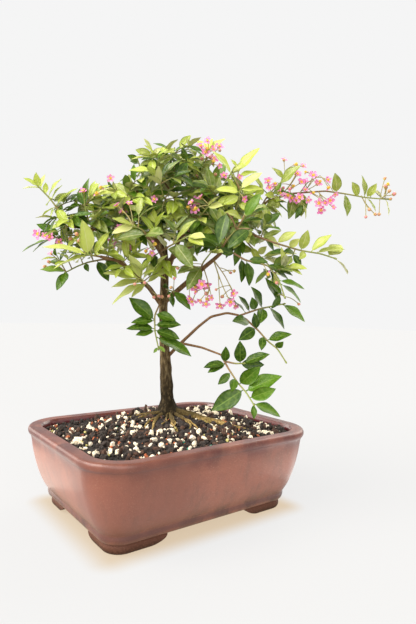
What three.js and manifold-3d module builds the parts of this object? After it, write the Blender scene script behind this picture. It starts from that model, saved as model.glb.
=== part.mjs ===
// Barbados cherry bonsai growing in a glazed, footed, rounded rectangular pot.
// Millimetres, +Z up. X runs along the pot's long side, and the front long side faces -Y.
// The origin is the middle of the whole model's box, on the surface that the feet stand on.
import * as THREE from 'three';
import Module from 'manifold-3d';

const wasm = await Module();
wasm.setup();

// Driving dimensions of the pot
const POT_LENGTH = 220;
const POT_WIDTH = 178;
const POT_HEIGHT = 73;
const RIM_CORNER_RADIUS = 37;
const LEAST_CORNER_RADIUS = 8;
const LEAST_FLAT = 1;
const CORNER_STEPS = 4;
const FLOOR_TOP = 16;
const DRAIN_HOLE_DIAMETER = 14;
const DRAIN_HOLE_SPACING = 96;
const FOOT_WALL = 15;
const GAP_BULGE = { out: 4, height: 0.55, steps: 3 };
const DRILL = { length: 30, sides: 16 };
const CUT_PAST = 1;
const LONG_GAP = { top: 80, bottom: 112 };
const SHORT_GAP = { top: 52, bottom: 78 };

// The pot's section, as [inset from the rim's outline, height], up the outside, over the rim and down inside
const POT_OUTSIDE = [
  [22.6, 7.8], [19.6, 9], [18.2, 12.6], [18.5, 15.8], [16.8, 18], [12.8, 25], [8.3, 37],
  [4.6, 52], [2.8, 65.4], [0.6, 67], [0, 70], [0.9, 72.3], [2.9, POT_HEIGHT],
];
const POT_INSIDE = [[11.2, 72.6], [12.8, 70], [13.4, 62], [19, 31], [30, FLOOR_TOP]];
const FOOT_OUTSIDE = [[24.8, 0], [22.6, 0.8], [21.6, 4.4], [23.4, 9]];

// Driving dimensions of the soil and the mesh squares under it
const SEAT_GAP = 0.3;
const WALL_GAP = 0.36;
const SCREEN_SIDE = 27;
const SCREEN_THICKNESS = 1.2;
const SCREEN_OPENINGS = 2;
const SCREEN_BAR = 3;
const SCREEN_POCKET = { wider: 1, deeper: 2 };
const SOIL_LEVEL = 68;
const SOIL_EDGE = 58;
const MOUND_HEIGHT = 8;
const MOUND_SPREAD = 30;
const SOIL_RELIEF = 1.1;
const SOIL_RING_INSETS = [15, 25, 38, 54, 70];
const SOIL_SIDE_STEPS = { long: 4, short: 4 };

// The tree spreads across a direction turned from the pot's long side. Its routes are written as
// [right, away, up] as seen from the front corner, and turned into the pot's own X, Y and Z here.
const TREE_TURN = THREE.MathUtils.degToRad(37);
const TRUNK_BASE = [-3, 38];

// Woody stems, each with its radius at the start and the end of its route
const WOOD = [
  { sides: 7, radii: [12.5, 11, 6.6, 5.9, 4.9, 4.3, 4.2, 3.7, 2.4],
    route: [[-3, 38, 62], [-3, 38, 76], [-4, 38, 90], [-6, 38, 119], [-8, 37, 144], [-10, 36, 180],
      [-9, 35, 215], [-11, 36, 243], [-17, 36, 259]] },
  { sides: 4, radii: [2.6, 1.8, 1.5, 1.5],
    route: [[-15, 36, 254], [-20, 30, 274], [-31, 22, 291], [-45, 14, 301]] },
  { sides: 6, radii: [3, 2.7, 2.4, 2.1, 1.8, 1.5],
    route: [[-9, 35, 212], [-1, 33, 234], [5, 33, 252], [4, 33, 270], [0, 32, 289], [-4, 31, 306]] },
  { sides: 6, radii: [3, 2.8, 2.5, 2.1, 1.5],
    route: [[-8, 35, 188], [7, 28, 201], [26, 10, 217], [39, -2, 227], [50, -12, 236]] },
  { sides: 4, radii: [2, 1.7, 1.5, 1.3], route: [[5, 33, 253], [25, 24, 262], [52, 8, 260], [78, -6, 249]] },
  { sides: 4, radii: [2, 1.9, 1.8, 1.6, 1.4, 1.2],
    route: [[4, 33, 266], [30, 44, 268], [61, 52, 269], [83, 56, 280], [94, 56, 296], [118, 54, 304]] },
  { sides: 5, radii: [2.6, 2.5, 2.2, 1.9, 1.7, 1.6, 1.5, 1.4],
    route: [[-7, 38, 130], [4, 34, 142], [11, 30, 149], [26, 20, 164], [38, 12, 174], [53, 4, 178],
      [64, 0, 176], [71, -4, 172]] },
  { sides: 4, radii: [1.8, 1.5, 1.2], route: [[9, 31, 147], [30, 18, 144], [48, 0, 139]] },
  { sides: 5, radii: [2.8, 2.6, 2.2, 1.9, 1.5],
    route: [[-10, 36, 182], [-23, 24, 201], [-39, 8, 215], [-49, -4, 224], [-63, -14, 226]] },
  { sides: 4, radii: [2.6, 2.1, 1.7, 1.5, 1.2],
    route: [[-11, 36, 243], [-26, 26, 254], [-52, 8, 252], [-71, -4, 252], [-92, -12, 253]] },
  { sides: 4, radii: [2.8, 2.2, 1.8, 1.3],
    route: [[-9, 35, 226], [7, 60, 243], [28, 84, 258], [49, 102, 269]] },
  { sides: 4, radii: [2.6, 2.1, 1.7, 1.3],
    route: [[-11, 36, 240], [-26, 62, 253], [-44, 84, 267], [-63, 100, 279]] },
  { sides: 4, radii: [2.4, 1.8, 1.5, 1.2],
    route: [[-9, 35, 222], [-10, 14, 231], [-14, -8, 238], [-18, -26, 242]] },
];

// Surface roots, as [right, away] with the radius at the start and the end: they follow the soil, half sunk
const ROOTS = [
  { radii: [3.4, 2.2, 1.4], route: [[-3, 36], [3, 14], [8, -8], [13, -26]] },
  { radii: [3, 1.8, 1.1], route: [[-1, 38], [14, 24], [20, 6], [19, -16]] },
  { radii: [4, 2.6, 1.6], route: [[-3, 38], [20, 35], [44, 22], [68, 12], [96, 8]] },
  { radii: [3.2, 1.9, 1.1], route: [[-5, 36], [-14, 18], [-12, -2], [-14, -20]] },
  { radii: [3.2, 1.9, 1.1], route: [[-5, 38], [-22, 31], [-34, 18], [-50, 22]] },
  { radii: [3.2, 1.9, 1.2], route: [[-3, 40], [4, 60], [0, 78]] },
  { radii: [2.8, 1.7, 1.1], route: [[-1, 40], [22, 52], [44, 60]] },
];
const ROOT_SIDES = 4;
const ROOT_DIVE = 5;
const ROOT_RISE = 0.7;

// Leafy shoots: route of the twig, and of a side twig where there is one. Leaves are either placed one by one,
// as [twig, share of its length, tip, roll in degrees], or grown in pairs of a given length.
const MATURE = 'mature';
const YOUNG = 'young';
const SHOOTS = [
  { name: 'shoot_crown_low_left', leaf: 25, pairs: 3, tone: MATURE,
    route: [[-25, 27, 283], [-33, 14, 282], [-44, 6, 285], [-52, 2, 288]] },
  { name: 'shoot_crown_left', tone: MATURE,
    route: [[-29, 23, 288], [-31, 26, 305], [-36, 30, 322], [-39, 32, 330]],
    placed: [[0, 0.55, [-54, 25, 305], 60], [0, 0.35, [-23, 10, 309], 0], [0, 0.73, [-39, 14, 310], 0],
      [0, 0.86, [-45, 28, 326], 20], [0, 0.7, [-17, 25, 319], 0], [0, 0.91, [-46, 26, 328], 0]] },
  { name: 'shoot_crown_top_left', tone: MATURE,
    route: [[-1, 32, 293], [-12, 22, 306], [-19, 16, 321], [-23, 14, 331]],
    placed: [[0, 0.95, [-29, 11, 341], 55], [0, 0.93, [-37, 12, 332], 0], [0, 0.88, [-44, 12, 323], 65],
      [0, 0.82, [-33, 13, 317], 30], [0, 0.76, [-2, 7, 324], 0], [0, 0.93, [-14, 11, 334], 0]] },
  { name: 'shoot_crown_top_back', leaf: 24, pairs: 2, tone: MATURE,
    route: [[-3, 31, 302], [-10, 42, 318], [-16, 54, 336]] },
  { name: 'shoot_crown_stem', tone: MATURE,
    route: [[-4, 31, 303], [-1, 30, 319], [-3, 29, 330], [-2, 29, 339]],
    placed: [[0, 0.91, [-22, 26, 343], 60], [0, 0.8, [-26, 26, 329], 35], [0, 0.95, [13, 26, 341], 45],
      [0, 0.82, [24, 26, 328], 55], [0, 0.59, [17, 27, 316], 15], [0, 0.5, [-25, 27, 314], 45]] },
  { name: 'shoot_crown_front', leaf: 26, pairs: 2, tone: MATURE,
    route: [[2, 33, 282], [-5, 16, 281], [-9, 0, 285], [-11, -10, 294]] },
  { name: 'shoot_crown_right', tone: YOUNG,
    route: [[4, 33, 274], [17, 38, 301], [27, 42, 327], [32, 44, 344]],
    placed: [[0, 0.99, [14, 41, 359], 50], [0, 0.99, [48, 41, 357], 45], [0, 0.99, [35, 41, 359], 35],
      [0, 0.97, [59, 41, 336], 65], [0, 0.67, [39, 38, 314], 30], [0, 0.64, [4, 38, 334], 50]] },
  { name: 'shoot_crown_right_front', leaf: 26, pairs: 3, tone: MATURE,
    route: [[4, 33, 264], [22, 18, 274], [37, 6, 286], [48, 0, 299], [54, -4, 308]] },
  { name: 'shoot_rosette_middle', tone: YOUNG,
    route: [[52, 8, 260], [57, 2, 270], [61, -4, 280], [62, -8, 292]],
    side: [[62, -7, 291], [58, -10, 298], [54, -12, 303]],
    placed: [[0, 0.99, [81, -11, 305], 40], [0, 0.96, [82, -11, 291], 45], [0, 0.91, [40, -10, 290], 40],
      [0, 0.82, [47, -10, 277], 0], [0, 0.62, [75, -8, 273], 0], [1, 0.99, [36, -15, 322], 55]] },
  { name: 'shoot_right_tall', tone: YOUNG,
    route: [[61, 52, 269], [63, 46, 294], [61, 42, 311], [63, 40, 324]],
    placed: [[0, 0.95, [82, 37, 344], 45], [0, 0.98, [55, 37, 332], 45], [0, 0.86, [81, 38, 321], 50],
      [0, 0.7, [46, 40, 314], 35], [0, 0.59, [81, 41, 296], 45]] },
  { name: 'shoot_centre_dark', leaf: 32, pairs: 2, tone: MATURE,
    route: [[43, -6, 231], [50, -22, 242], [58, -34, 250], [65, -40, 260]] },
  { name: 'shoot_centre_fill', leaf: 26, pairs: 2, tone: MATURE,
    route: [[12, 30, 256], [20, 8, 263], [28, -8, 268], [34, -16, 274]] },
  { name: 'shoot_centre_back', leaf: 26, pairs: 2, tone: MATURE,
    route: [[30, 44, 268], [35, 66, 287], [41, 78, 310], [46, 84, 327]] },
  { name: 'shoot_left_top', tone: YOUNG,
    route: [[-92, -12, 253], [-100, -16, 265], [-108, -18, 276], [-118, -20, 286]],
    placed: [[0, 0.99, [-117, -29, 296], 0], [0, 0.95, [-113, -23, 297], 40],
      [0, 0.98, [-131, -23, 284], 65], [0, 0.99, [-129, -23, 292], 55], [0, 0.79, [-113, -21, 290], 0],
      [0, 0.73, [-98, -21, 293], 55], [0, 0.5, [-84, -20, 285], 60], [0, 0.45, [-93, -20, 254], 15]] },
  { name: 'shoot_left_upright', leaf: 30, pairs: 2, tone: MATURE,
    route: [[-71, -4, 252], [-74, -12, 256], [-76, -16, 264], [-77, -18, 271]] },
  { name: 'shoot_rosette_left', tone: YOUNG,
    route: [[-63, -14, 226], [-68, -22, 226], [-72, -28, 226]],
    placed: [[0, 0.99, [-109, -31, 231], 70], [0, 0.74, [-100, -27, 213], 70],
      [0, 0.91, [-73, -30, 252], 45], [0, 0.69, [-47, -27, 252], 50], [0, 0.47, [-53, -24, 246], 45],
      [0, 0.99, [-86, -31, 241], 50]] },
  { name: 'shoot_left_low', tone: MATURE,
    route: [[-49, -4, 224], [-63, -2, 225], [-77, -2, 222], [-86, -4, 218], [-96, -6, 212]],
    placed: [[0, 0.99, [-96, -17, 200], 0], [0, 0.98, [-103, -9, 196], 10],
      [0, 0.98, [-118, -9, 213], 55], [0, 0.62, [-75, -9, 213], 0], [0, 0.4, [-58, -5, 205], 30],
      [0, 0.27, [-48, -6, 213], 0]] },
  { name: 'shoot_left_far', tone: MATURE,
    route: [[-71, -4, 252], [-86, 2, 247], [-103, 8, 248], [-119, 12, 244]],
    placed: [[0, 0.75, [-128, 6, 257], 45], [0, 0.81, [-128, 7, 249], 15], [0, 0.99, [-141, 9, 232], 70],
      [0, 0.93, [-131, 8, 232], 70], [0, 0.54, [-103, -5, 258], 0], [0, 0.63, [-112, 4, 240], 0]] },
  { name: 'shoot_left_centre', leaf: 27, pairs: 3, tone: MATURE,
    route: [[-52, 8, 252], [-60, 18, 266], [-68, 24, 279], [-76, 26, 286]] },
  { name: 'shoot_left_inner', leaf: 26, pairs: 2, tone: MATURE,
    route: [[-33, 22, 254], [-43, 36, 270], [-52, 44, 282], [-58, 48, 294]] },
  { name: 'shoot_rosette_trunk', tone: YOUNG,
    route: [[-17, 30, 193], [-24, 10, 204], [-27, -8, 207]],
    placed: [[0, 0.99, [-60, -11, 211], 60], [0, 0.95, [-38, -9, 229], 45], [0, 0.9, [-4, -7, 229], 60],
      [0, 0.61, [6, 5, 220], 60], [0, 0.78, [-54, -2, 199], 60], [0, 0.66, [-54, 3, 184], 65],
      [0, 0.57, [-37, 7, 191], 45]] },
  { name: 'shoot_left_inner_low', leaf: 25, pairs: 2, tone: MATURE,
    route: [[-39, 8, 215], [-49, 26, 226], [-61, 38, 234], [-72, 44, 239]] },
  { name: 'shoot_pendant', tone: MATURE,
    route: [[-13, 35, 192], [-12, 24, 186], [-16, 14, 174], [-15, 10, 159], [-11, 8, 143]],
    placed: [[0, 0.55, [-40, 10, 189], 30], [0, 0.56, [-37, 10, 167], 40], [0, 0.69, [-41, 8, 161], 55],
      [0, 0.72, [-32, 7, 155], 35], [0, 0.44, [4, 12, 170], 30], [0, 0.63, [9, 9, 165], 45],
      [0, 0.71, [8, 7, 152], 40], [0, 0.82, [19, 6, 136], 60], [0, 0.96, [-5, 5, 140], 40],
      [0, 0.98, [-15, 7, 139], 0]] },
  { name: 'shoot_trunk_side', tone: MATURE,
    route: [[-8, 35, 201], [-4, 16, 199], [2, 8, 197]],
    placed: [[0, 0.93, [18, 7, 181], 45], [0, 0.03, [-30, 32, 190], 35], [0, 0.61, [1, 14, 183], 50],
      [0, 0.16, [-6, 18, 205], 0]] },
  { name: 'shoot_front_centre', leaf: 26, pairs: 2, tone: MATURE,
    route: [[-18, -26, 242], [-23, -34, 248], [-30, -38, 250]] },
  { name: 'shoot_front_right', leaf: 28, pairs: 3, tone: MATURE,
    route: [[-11, 4, 234], [-1, -14, 237], [10, -26, 241], [18, -32, 244]] },
  { name: 'shoot_right_branch', leaf: 27, pairs: 2, tone: MATURE,
    route: [[26, 10, 217], [30, -10, 224], [37, -20, 232]] },
  { name: 'shoot_right_low', tone: MATURE,
    route: [[50, -12, 236], [67, -22, 225], [87, -28, 220], [96, -34, 206], [100, -38, 193]],
    placed: [[0, 0.53, [106, -30, 212], 50], [0, 0.63, [105, -32, 207], 65],
      [0, 0.8, [116, -37, 200], 60], [0, 0.84, [113, -38, 189], 65], [0, 0.31, [85, -25, 223], 25],
      [0, 0.24, [64, -23, 206], 40], [0, 0.31, [71, -25, 203], 35], [0, 0.14, [43, -21, 234], 0]] },
  { name: 'shoot_right_far', tone: MATURE,
    route: [[78, -6, 249], [94, -14, 242], [116, -20, 235], [133, -24, 232], [145, -26, 228]],
    placed: [[0, 0.09, [99, -12, 253], 45], [0, 0.28, [112, -17, 251], 35], [0, 0.44, [113, -28, 244], 0],
      [0, 0.59, [120, -34, 251], 0], [0, 0.71, [142, -25, 248], 50], [0, 0.77, [153, -26, 236], 60],
      [0, 0.92, [155, -28, 242], 25], [0, 0.99, [160, -29, 216], 70], [0, 0.64, [114, -29, 226], 0]] },
  { name: 'shoot_right_mid', tone: MATURE,
    route: [[60, 4, 258], [74, 14, 243], [87, 24, 232], [95, 30, 226]],
    placed: [[0, 0.75, [119, 20, 237], 65], [0, 0.76, [117, 20, 220], 60], [0, 0.59, [58, 16, 240], 40],
      [0, 0.66, [89, 10, 242], 0], [0, 0.77, [107, 21, 228], 45], [0, 0.45, [82, 12, 227], 25]] },
  { name: 'shoot_right_top', tone: MATURE,
    route: [[118, 54, 304], [153, 48, 306], [172, 45, 303], [193, 43, 299], [217, 41, 297]],
    placed: [[0, 0.47, [158, 30, 319], 0], [0, 0.55, [174, 42, 280], 35], [0, 0.69, [176, 33, 311], 0],
      [0, 0.75, [188, 40, 320], 45], [0, 0.77, [201, 35, 311], 0], [0, 0.93, [210, 39, 315], 50],
      [0, 0.77, [202, 40, 285], 55], [0, 0.96, [215, 38, 281], 65], [0, 0.13, [129, 49, 280], 15],
      [0, 0.04, [116, 38, 278], 0]] },
  { name: 'shoot_right_top_low', tone: MATURE,
    route: [[83, 56, 280], [92, 50, 297], [101, 46, 308], [115, 42, 318]],
    placed: [[0, 0.66, [82, 43, 327], 65], [0, 0.76, [123, 42, 324], 40], [0, 0.89, [97, 40, 326], 40],
      [0, 0.99, [138, 39, 327], 70], [0, 0.22, [104, 49, 282], 40], [0, 0.22, [103, 49, 267], 60]] },
  { name: 'shoot_arc_outer', tone: MATURE,
    route: [[71, -4, 172], [81, -8, 163], [90, -12, 153], [98, -16, 147], [105, -20, 136]],
    placed: [[0, 0.06, [57, -8, 171], 40], [0, 0.22, [63, -20, 155], 0], [0, 0.25, [77, -14, 178], 0],
      [0, 0.41, [83, -20, 146], 0], [0, 0.51, [110, -15, 160], 45], [0, 0.71, [101, -27, 154], 0]] },
  { name: 'shoot_arc_side', tone: MATURE,
    route: [[65, -1, 176], [81, -8, 182], [93, -15, 185], [102, -20, 187]],
    placed: [[0, 0.14, [52, -6, 193], 60], [0, 0.23, [63, -8, 193], 55], [0, 0.35, [74, -18, 192], 0],
      [0, 0.52, [73, -13, 201], 50], [0, 0.54, [81, -26, 170], 0], [0, 0.67, [103, -16, 165], 55],
      [0, 0.93, [85, -21, 209], 50], [0, 0.97, [120, -22, 172], 45]] },
  { name: 'shoot_lowest', tone: MATURE,
    route: [[48, 0, 139], [55, -8, 127], [63, -20, 116], [70, -28, 109], [76, -34, 100]],
    side: [[53, -4, 133], [61, -10, 132], [68, -16, 133]],
    placed: [[0, 0.15, [52, -13, 147], 0], [0, 0.17, [33, -8, 128], 50], [0, 0.18, [37, -8, 123], 45],
      [1, 0.8, [64, -24, 153], 0], [1, 0.97, [90, -19, 141], 50], [1, 0.74, [86, -16, 132], 0],
      [0, 0.61, [81, -34, 132], 0], [0, 0.35, [46, -15, 114], 0], [0, 0.47, [58, -29, 110], 0],
      [0, 0.73, [41, -29, 93], 15], [0, 0.77, [100, -30, 123], 45], [0, 0.89, [93, -37, 115], 0],
      [0, 0.99, [76, -37, 89], 20], [0, 0.99, [98, -37, 91], 55]] },
  { name: 'shoot_back_right', leaf: 26, pairs: 2, tone: MATURE,
    route: [[49, 102, 269], [61, 112, 284], [70, 118, 301]] },
  { name: 'shoot_back_left', leaf: 26, pairs: 2, tone: MATURE,
    route: [[-63, 100, 279], [-76, 108, 289], [-88, 112, 294]] },
  { name: 'shoot_back_top', leaf: 26, pairs: 2, tone: MATURE,
    route: [[3, 33, 280], [-1, 60, 300], [-1, 76, 321], [3, 84, 339]] },
];
const TWIG_SIDES = 3;
const TWIG_CLEARANCE = 0.6;
const TWIG_RADII = [1.4, 1];
const ROUTE_STEPS = 1;

// Directions steeper than the first two start their cross-section from another axis, and what is smaller
// than the last counts as nil
const UPRIGHT_LIMIT = 0.9;
const LEVEL_LIMIT = 0.92;
const NEARLY_NIL = 1e-9;

// Leaf shape, as shares of the leaf's length, and how it sits on the twig
const LEAF_WIDTH = 0.48;
const LEAF_THICKNESS = 0.7;
const LEAF_SHOULDERS = [[0.32, 0.96], [0.7, 0.76]];
const LEAF_ROOT = 0.5;
const LEAF_ROOT_LIMIT = 1.6;
const LEAF_ARCH = 0.16;
const LEAF_FIRST = 0.25;
const LEAF_LAST = 0.96;
const LEAF_SPREAD = [68, 38];
const LEAF_FLATTEN = 0.55;
const LEAF_DROOP = 0.22;
const LEAF_CLEARANCE = 0.45;
const LEAF_TRIES = 8;
const LEAF_RETRY_TURN = 25;
const LEAF_TAPER = [1.05, 0.7];
const LEAF_VARIATION = [0.85, 1.12];
const LEAF_TIP_SPREAD = 0.5;
const LEAF_ALONG = 0.35;
const LEAF_JITTER = { turn: 30, spread: 20, face: 0.8 };
const LIGHT_SIDE = [-0.2, -0.8, 0.6];
const PLACED_TRIES = [[0, 0], [-4, 0], [4, 0], [-8, 0], [8, 0], [-8, 25], [8, 25], [-14, 0], [14, 0],
  [-14, 25], [14, -25], [-20, 0], [20, 0]];

// Bunches of blossom: where the stalk leaves the twig, where the flowers spread, and how many of them are
// open and how many in bud
const BUNCHES = [
  { name: 'blossom_crown', stalk: [28, 42, 331], centre: [36, 35, 340], spread: 13, open: 4, buds: 2 },
  { name: 'blossom_crown_side', stalk: [18, 38, 304], centre: [44, 33, 318], spread: 8, open: 0, buds: 2 },
  { name: 'blossom_right_inner', stalk: [96, 56, 297], centre: [103, 46, 307],
    spread: 12, open: 3, buds: 1 },
  { name: 'blossom_right_upper', stalk: [108, 56, 301], centre: [121, 46, 317],
    spread: 13, open: 3, buds: 1 },
  { name: 'blossom_right_lower', stalk: [116, 54, 303], centre: [120, 44, 299],
    spread: 12, open: 3, buds: 1 },
  { name: 'blossom_right_outer', stalk: [132, 52, 305], centre: [138, 44, 314],
    spread: 12, open: 3, buds: 1 },
  { name: 'blossom_right_end', stalk: [146, 49, 306], centre: [150, 42, 296], spread: 12, open: 3, buds: 1 },
  { name: 'blossom_tip', stalk: [207, 41, 297], centre: [215, 38, 303], spread: 9, open: 0, buds: 4 },
  { name: 'blossom_tip_low', stalk: [189, 44, 301], centre: [197, 40, 284], spread: 9, open: 0, buds: 2 },
  { name: 'blossom_hanging', stalk: [27, 9, 217], centre: [27, 0, 197], spread: 13, open: 4, buds: 1 },
  { name: 'blossom_hanging_right', stalk: [39, -2, 227], centre: [52, -8, 190],
    spread: 9, open: 2, buds: 1 },
  { name: 'blossom_left_upper', stalk: [-47, 39, 275], centre: [-50, 12, 277], spread: 9, open: 2, buds: 1 },
  { name: 'blossom_left_lower', stalk: [-52, 8, 252], centre: [-48, 2, 243], spread: 8, open: 2, buds: 1 },
  { name: 'blossom_left_far', stalk: [-110, 9, 246], centre: [-114, -3, 243], spread: 9, open: 2, buds: 0 },
  { name: 'blossom_left_rosette', stalk: [-68, -22, 226], centre: [-76, -33, 238],
    spread: 8, open: 0, buds: 3 },
  { name: 'blossom_middle', stalk: [2, 33, 280], centre: [22, 2, 276], spread: 9, open: 2, buds: 0 },
  { name: 'blossom_trunk', stalk: [-19, 20, 197], centre: [-12, 12, 192], spread: 8, open: 0, buds: 3 },
];
const STALK_RADIUS = 0.5;
const STALK_NECK = 1.1;
const STALK_FREE = 0.25;
const COMMON_STALK = { least: 7, share: 0.5, radius: 0.9, sides: 3, first: 0.5, last: 0.97 };
const STALK_ROOT = 0.35;
const BLOSSOM_RADIUS = 5.8;
const BUD_RADIUS = 1.9;
const BUD_SIDES = 3;
const BUD_TIP = 0.3;
const PETALS = 5;
const PETAL_OUTLINE = [[-36, 0.25], [-18, 1], [18, 1]];
const PETAL_THICKNESS = 0.8;
const PETAL_CUP = 0.22;
const BLOSSOM_TRIES = 24;
const BLOSSOM_SIDE = [-0.18, -0.9, 0.135];
const BLOSSOM_SPREAD = [1, 0.8, 0.7];
const BLOSSOM_NEAREST = 0.4;
const BLOSSOM_JITTER = 40;
const BLOSSOM_RETRY_TURN = 30;
const GOLDEN_TURN = 0.618034;
const BUNCH_TURN = 0.37;
const BUD_MIDDLE = 0.1;
const SOIL_SEED = 11;
const LEAF_SEED = { shoot: 1000, pair: 10 };
const BLOSSOM_SEED = { start: 90000, bunch: 100 };

// Colours, roughness and metalness of the real surfaces
const FINISH = {
  glaze: { color: 0x8d5548, roughness: 0.3, metalness: 0 },
  soil: { color: 0x2a221d, roughness: 0.95, metalness: 0 },
  mesh: { color: 0x1d1f1e, roughness: 0.6, metalness: 0 },
  bark: { color: 0x7a654c, roughness: 0.85, metalness: 0 },
  mature: { color: 0x4f7a2b, roughness: 0.42, metalness: 0 },
  young: { color: 0x9cc63f, roughness: 0.45, metalness: 0 },
  petal: { color: 0xf0a0c4, roughness: 0.6, metalness: 0 },
};

// Small vector sums on [x, y, z] lists
const add = (a, b) => [a[0] + b[0], a[1] + b[1], a[2] + b[2]];
const sub = (a, b) => [a[0] - b[0], a[1] - b[1], a[2] - b[2]];
const times = (a, k) => [a[0] * k, a[1] * k, a[2] * k];
const dot = (a, b) => a[0] * b[0] + a[1] * b[1] + a[2] * b[2];
const cross = (a, b) => [a[1] * b[2] - a[2] * b[1], a[2] * b[0] - a[0] * b[2], a[0] * b[1] - a[1] * b[0]];
const size = (a) => Math.sqrt(dot(a, a));
const unit = (a) => times(a, 1 / size(a));
const mix = (a, b, t) => a + (b - a) * t;
const mixPoint = (a, b, t) => add(times(a, 1 - t), times(b, t));
const degrees = (angle) => (angle * Math.PI) / 180;

// Turns [right, away, up] as seen from the front corner into the pot's X, Y and Z
function fromFront([right, away, up]) {
  const c = Math.cos(TREE_TURN);
  const s = Math.sin(TREE_TURN);
  return [right * c + away * s, -right * s + away * c, up];
}

// Repeatable random numbers from 0 to 1
function randomFrom(seed) {
  let state = seed >>> 0;
  return () => {
    state = (state + 0x6d2b79f5) >>> 0;
    let t = state;
    t = Math.imul(t ^ (t >>> 15), t | 1);
    t ^= t + Math.imul(t ^ (t >>> 7), t | 61);
    return ((t ^ (t >>> 14)) >>> 0) / 4294967296;
  };
}

// A smooth curve through the points, as steps for each span
function smoothCurve(points, steps) {
  const last = points.length - 1;
  const before = sub(times(points[0], 2), points[1]);
  const after = sub(times(points[last], 2), points[last - 1]);
  const all = [before, ...points, after];
  const curve = [];
  for (let span = 0; span < last; span += 1) {
    const [p0, p1, p2, p3] = all.slice(span, span + 4);
    for (let k = 0; k < steps; k += 1) {
      const t = k / steps;
      const point = [0, 1, 2].map((i) => {
        const slope1 = (p2[i] - p0[i]) / 2;
        const slope2 = (p3[i] - p1[i]) / 2;
        const square = -3 * p1[i] + 3 * p2[i] - 2 * slope1 - slope2;
        const cube = 2 * p1[i] - 2 * p2[i] + slope1 + slope2;
        return p1[i] + slope1 * t + square * t * t + cube * t * t * t;
      });
      curve.push(point);
    }
  }
  curve.push(points[last]);
  return curve;
}

// Point and direction at a share of a curve's length
function along(curve, share) {
  const lengths = [0];
  for (let i = 1; i < curve.length; i += 1) {
    lengths.push(lengths[i - 1] + size(sub(curve[i], curve[i - 1])));
  }
  const target = share * lengths[lengths.length - 1];
  let i = 1;
  while (i < curve.length - 1 && lengths[i] < target) {
    i += 1;
  }
  const t = (target - lengths[i - 1]) / (lengths[i] - lengths[i - 1]);
  return { point: mixPoint(curve[i - 1], curve[i], t), direction: unit(sub(curve[i], curve[i - 1])) };
}

// A closed solid through rings of points, all with the same number of points
function loft(rings) {
  const count = rings[0].length;
  const points = rings.flat();
  const triangles = [];
  for (let r = 0; r < rings.length - 1; r += 1) {
    for (let k = 0; k < count; k += 1) {
      const a = r * count + k;
      const b = r * count + ((k + 1) % count);
      triangles.push([a, b, b + count], [a, b + count, a + count]);
    }
  }
  const first = points.length;
  const ends = [rings[0], rings[rings.length - 1]];
  for (const ring of ends) {
    const middle = times(ring.reduce((sum, p) => add(sum, p), [0, 0, 0]), 1 / count);
    points.push(middle);
  }
  const top = (rings.length - 1) * count;
  for (let k = 0; k < count; k += 1) {
    const next = (k + 1) % count;
    triangles.push([first, next, k], [first + 1, top + k, top + next]);
  }
  return solid(points, triangles);
}

function solid(points, triangles) {
  const vertProperties = new Float32Array(points.flat());
  const triVerts = new Uint32Array(triangles.flat());
  return new wasm.Manifold(new wasm.Mesh({ numProp: 3, vertProperties, triVerts }));
}

// A three.js geometry's solid, with the points of neighbouring faces joined
function solidOf(geometry) {
  const position = geometry.getAttribute('position');
  const index = geometry.index;
  const seen = new Map();
  const points = [];
  const corner = (n) => {
    const i = index ? index.getX(n) : n;
    const point = [position.getX(i), position.getY(i), position.getZ(i)];
    const key = point.map((v) => Math.round(v * 10000)).join(' ');
    if (!seen.has(key)) {
      seen.set(key, points.length);
      points.push(point);
    }
    return seen.get(key);
  };
  const corners = index ? index.count : position.count;
  const triangles = [];
  for (let n = 0; n < corners; n += 3) {
    triangles.push([corner(n), corner(n + 1), corner(n + 2)]);
  }
  return solid(points, triangles);
}

// A tapered tube along a curve: the ring is carried from step to step without twisting. A grown tube is
// wider all round and longer at both ends.
function tube(curve, radii, sides, grow = 0) {
  const rings = [];
  const last = curve.length - 1;
  let across = null;
  for (let i = 0; i <= last; i += 1) {
    const back = curve[Math.max(0, i - 1)];
    const ahead = curve[Math.min(last, i + 1)];
    const direction = unit(sub(ahead, back));
    const longer = { 0: -grow, [last]: grow }[i] ?? 0;
    const centre = add(curve[i], times(direction, longer));
    if (across === null) {
      across = Math.abs(direction[2]) < UPRIGHT_LIMIT ? [0, 0, 1] : [1, 0, 0];
    }
    across = unit(sub(across, times(direction, dot(across, direction))));
    const other = cross(direction, across);
    const share = (i / last) * (radii.length - 1);
    const k = Math.min(radii.length - 2, Math.floor(share));
    const radius = mix(radii[k], radii[k + 1], share - k) + grow;
    const ring = [];
    for (let s = 0; s < sides; s += 1) {
      const angle = (2 * Math.PI * s) / sides;
      const offset = add(times(across, radius * Math.cos(angle)), times(other, radius * Math.sin(angle)));
      ring.push(add(centre, offset));
    }
    rings.push(ring);
  }
  return loft(rings);
}

const joined = (solids) => wasm.Manifold.union(solids);

// The largest closed body of a solid, without loose scraps and sealed hollows
function mainBody(body) {
  const pieces = body.decompose();
  return pieces.reduce((best, piece) => (piece.volume() > best.volume() ? piece : best));
}

function geometryOf(body) {
  const mesh = body.getMesh();
  const positions = new Float32Array(mesh.numVert * 3);
  for (let v = 0; v < mesh.numVert; v += 1) {
    for (let i = 0; i < 3; i += 1) {
      positions[v * 3 + i] = mesh.vertProperties[v * mesh.numProp + i];
    }
  }
  const geometry = new THREE.BufferGeometry();
  geometry.setAttribute('position', new THREE.BufferAttribute(positions, 3));
  geometry.setIndex(new THREE.BufferAttribute(new Uint32Array(mesh.triVerts), 1));
  geometry.computeVertexNormals();
  return geometry;
}

function piece(name, body, finish) {
  const mesh = new THREE.Mesh(geometryOf(body), new THREE.MeshStandardMaterial(finish));
  mesh.name = name;
  return mesh;
}

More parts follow.
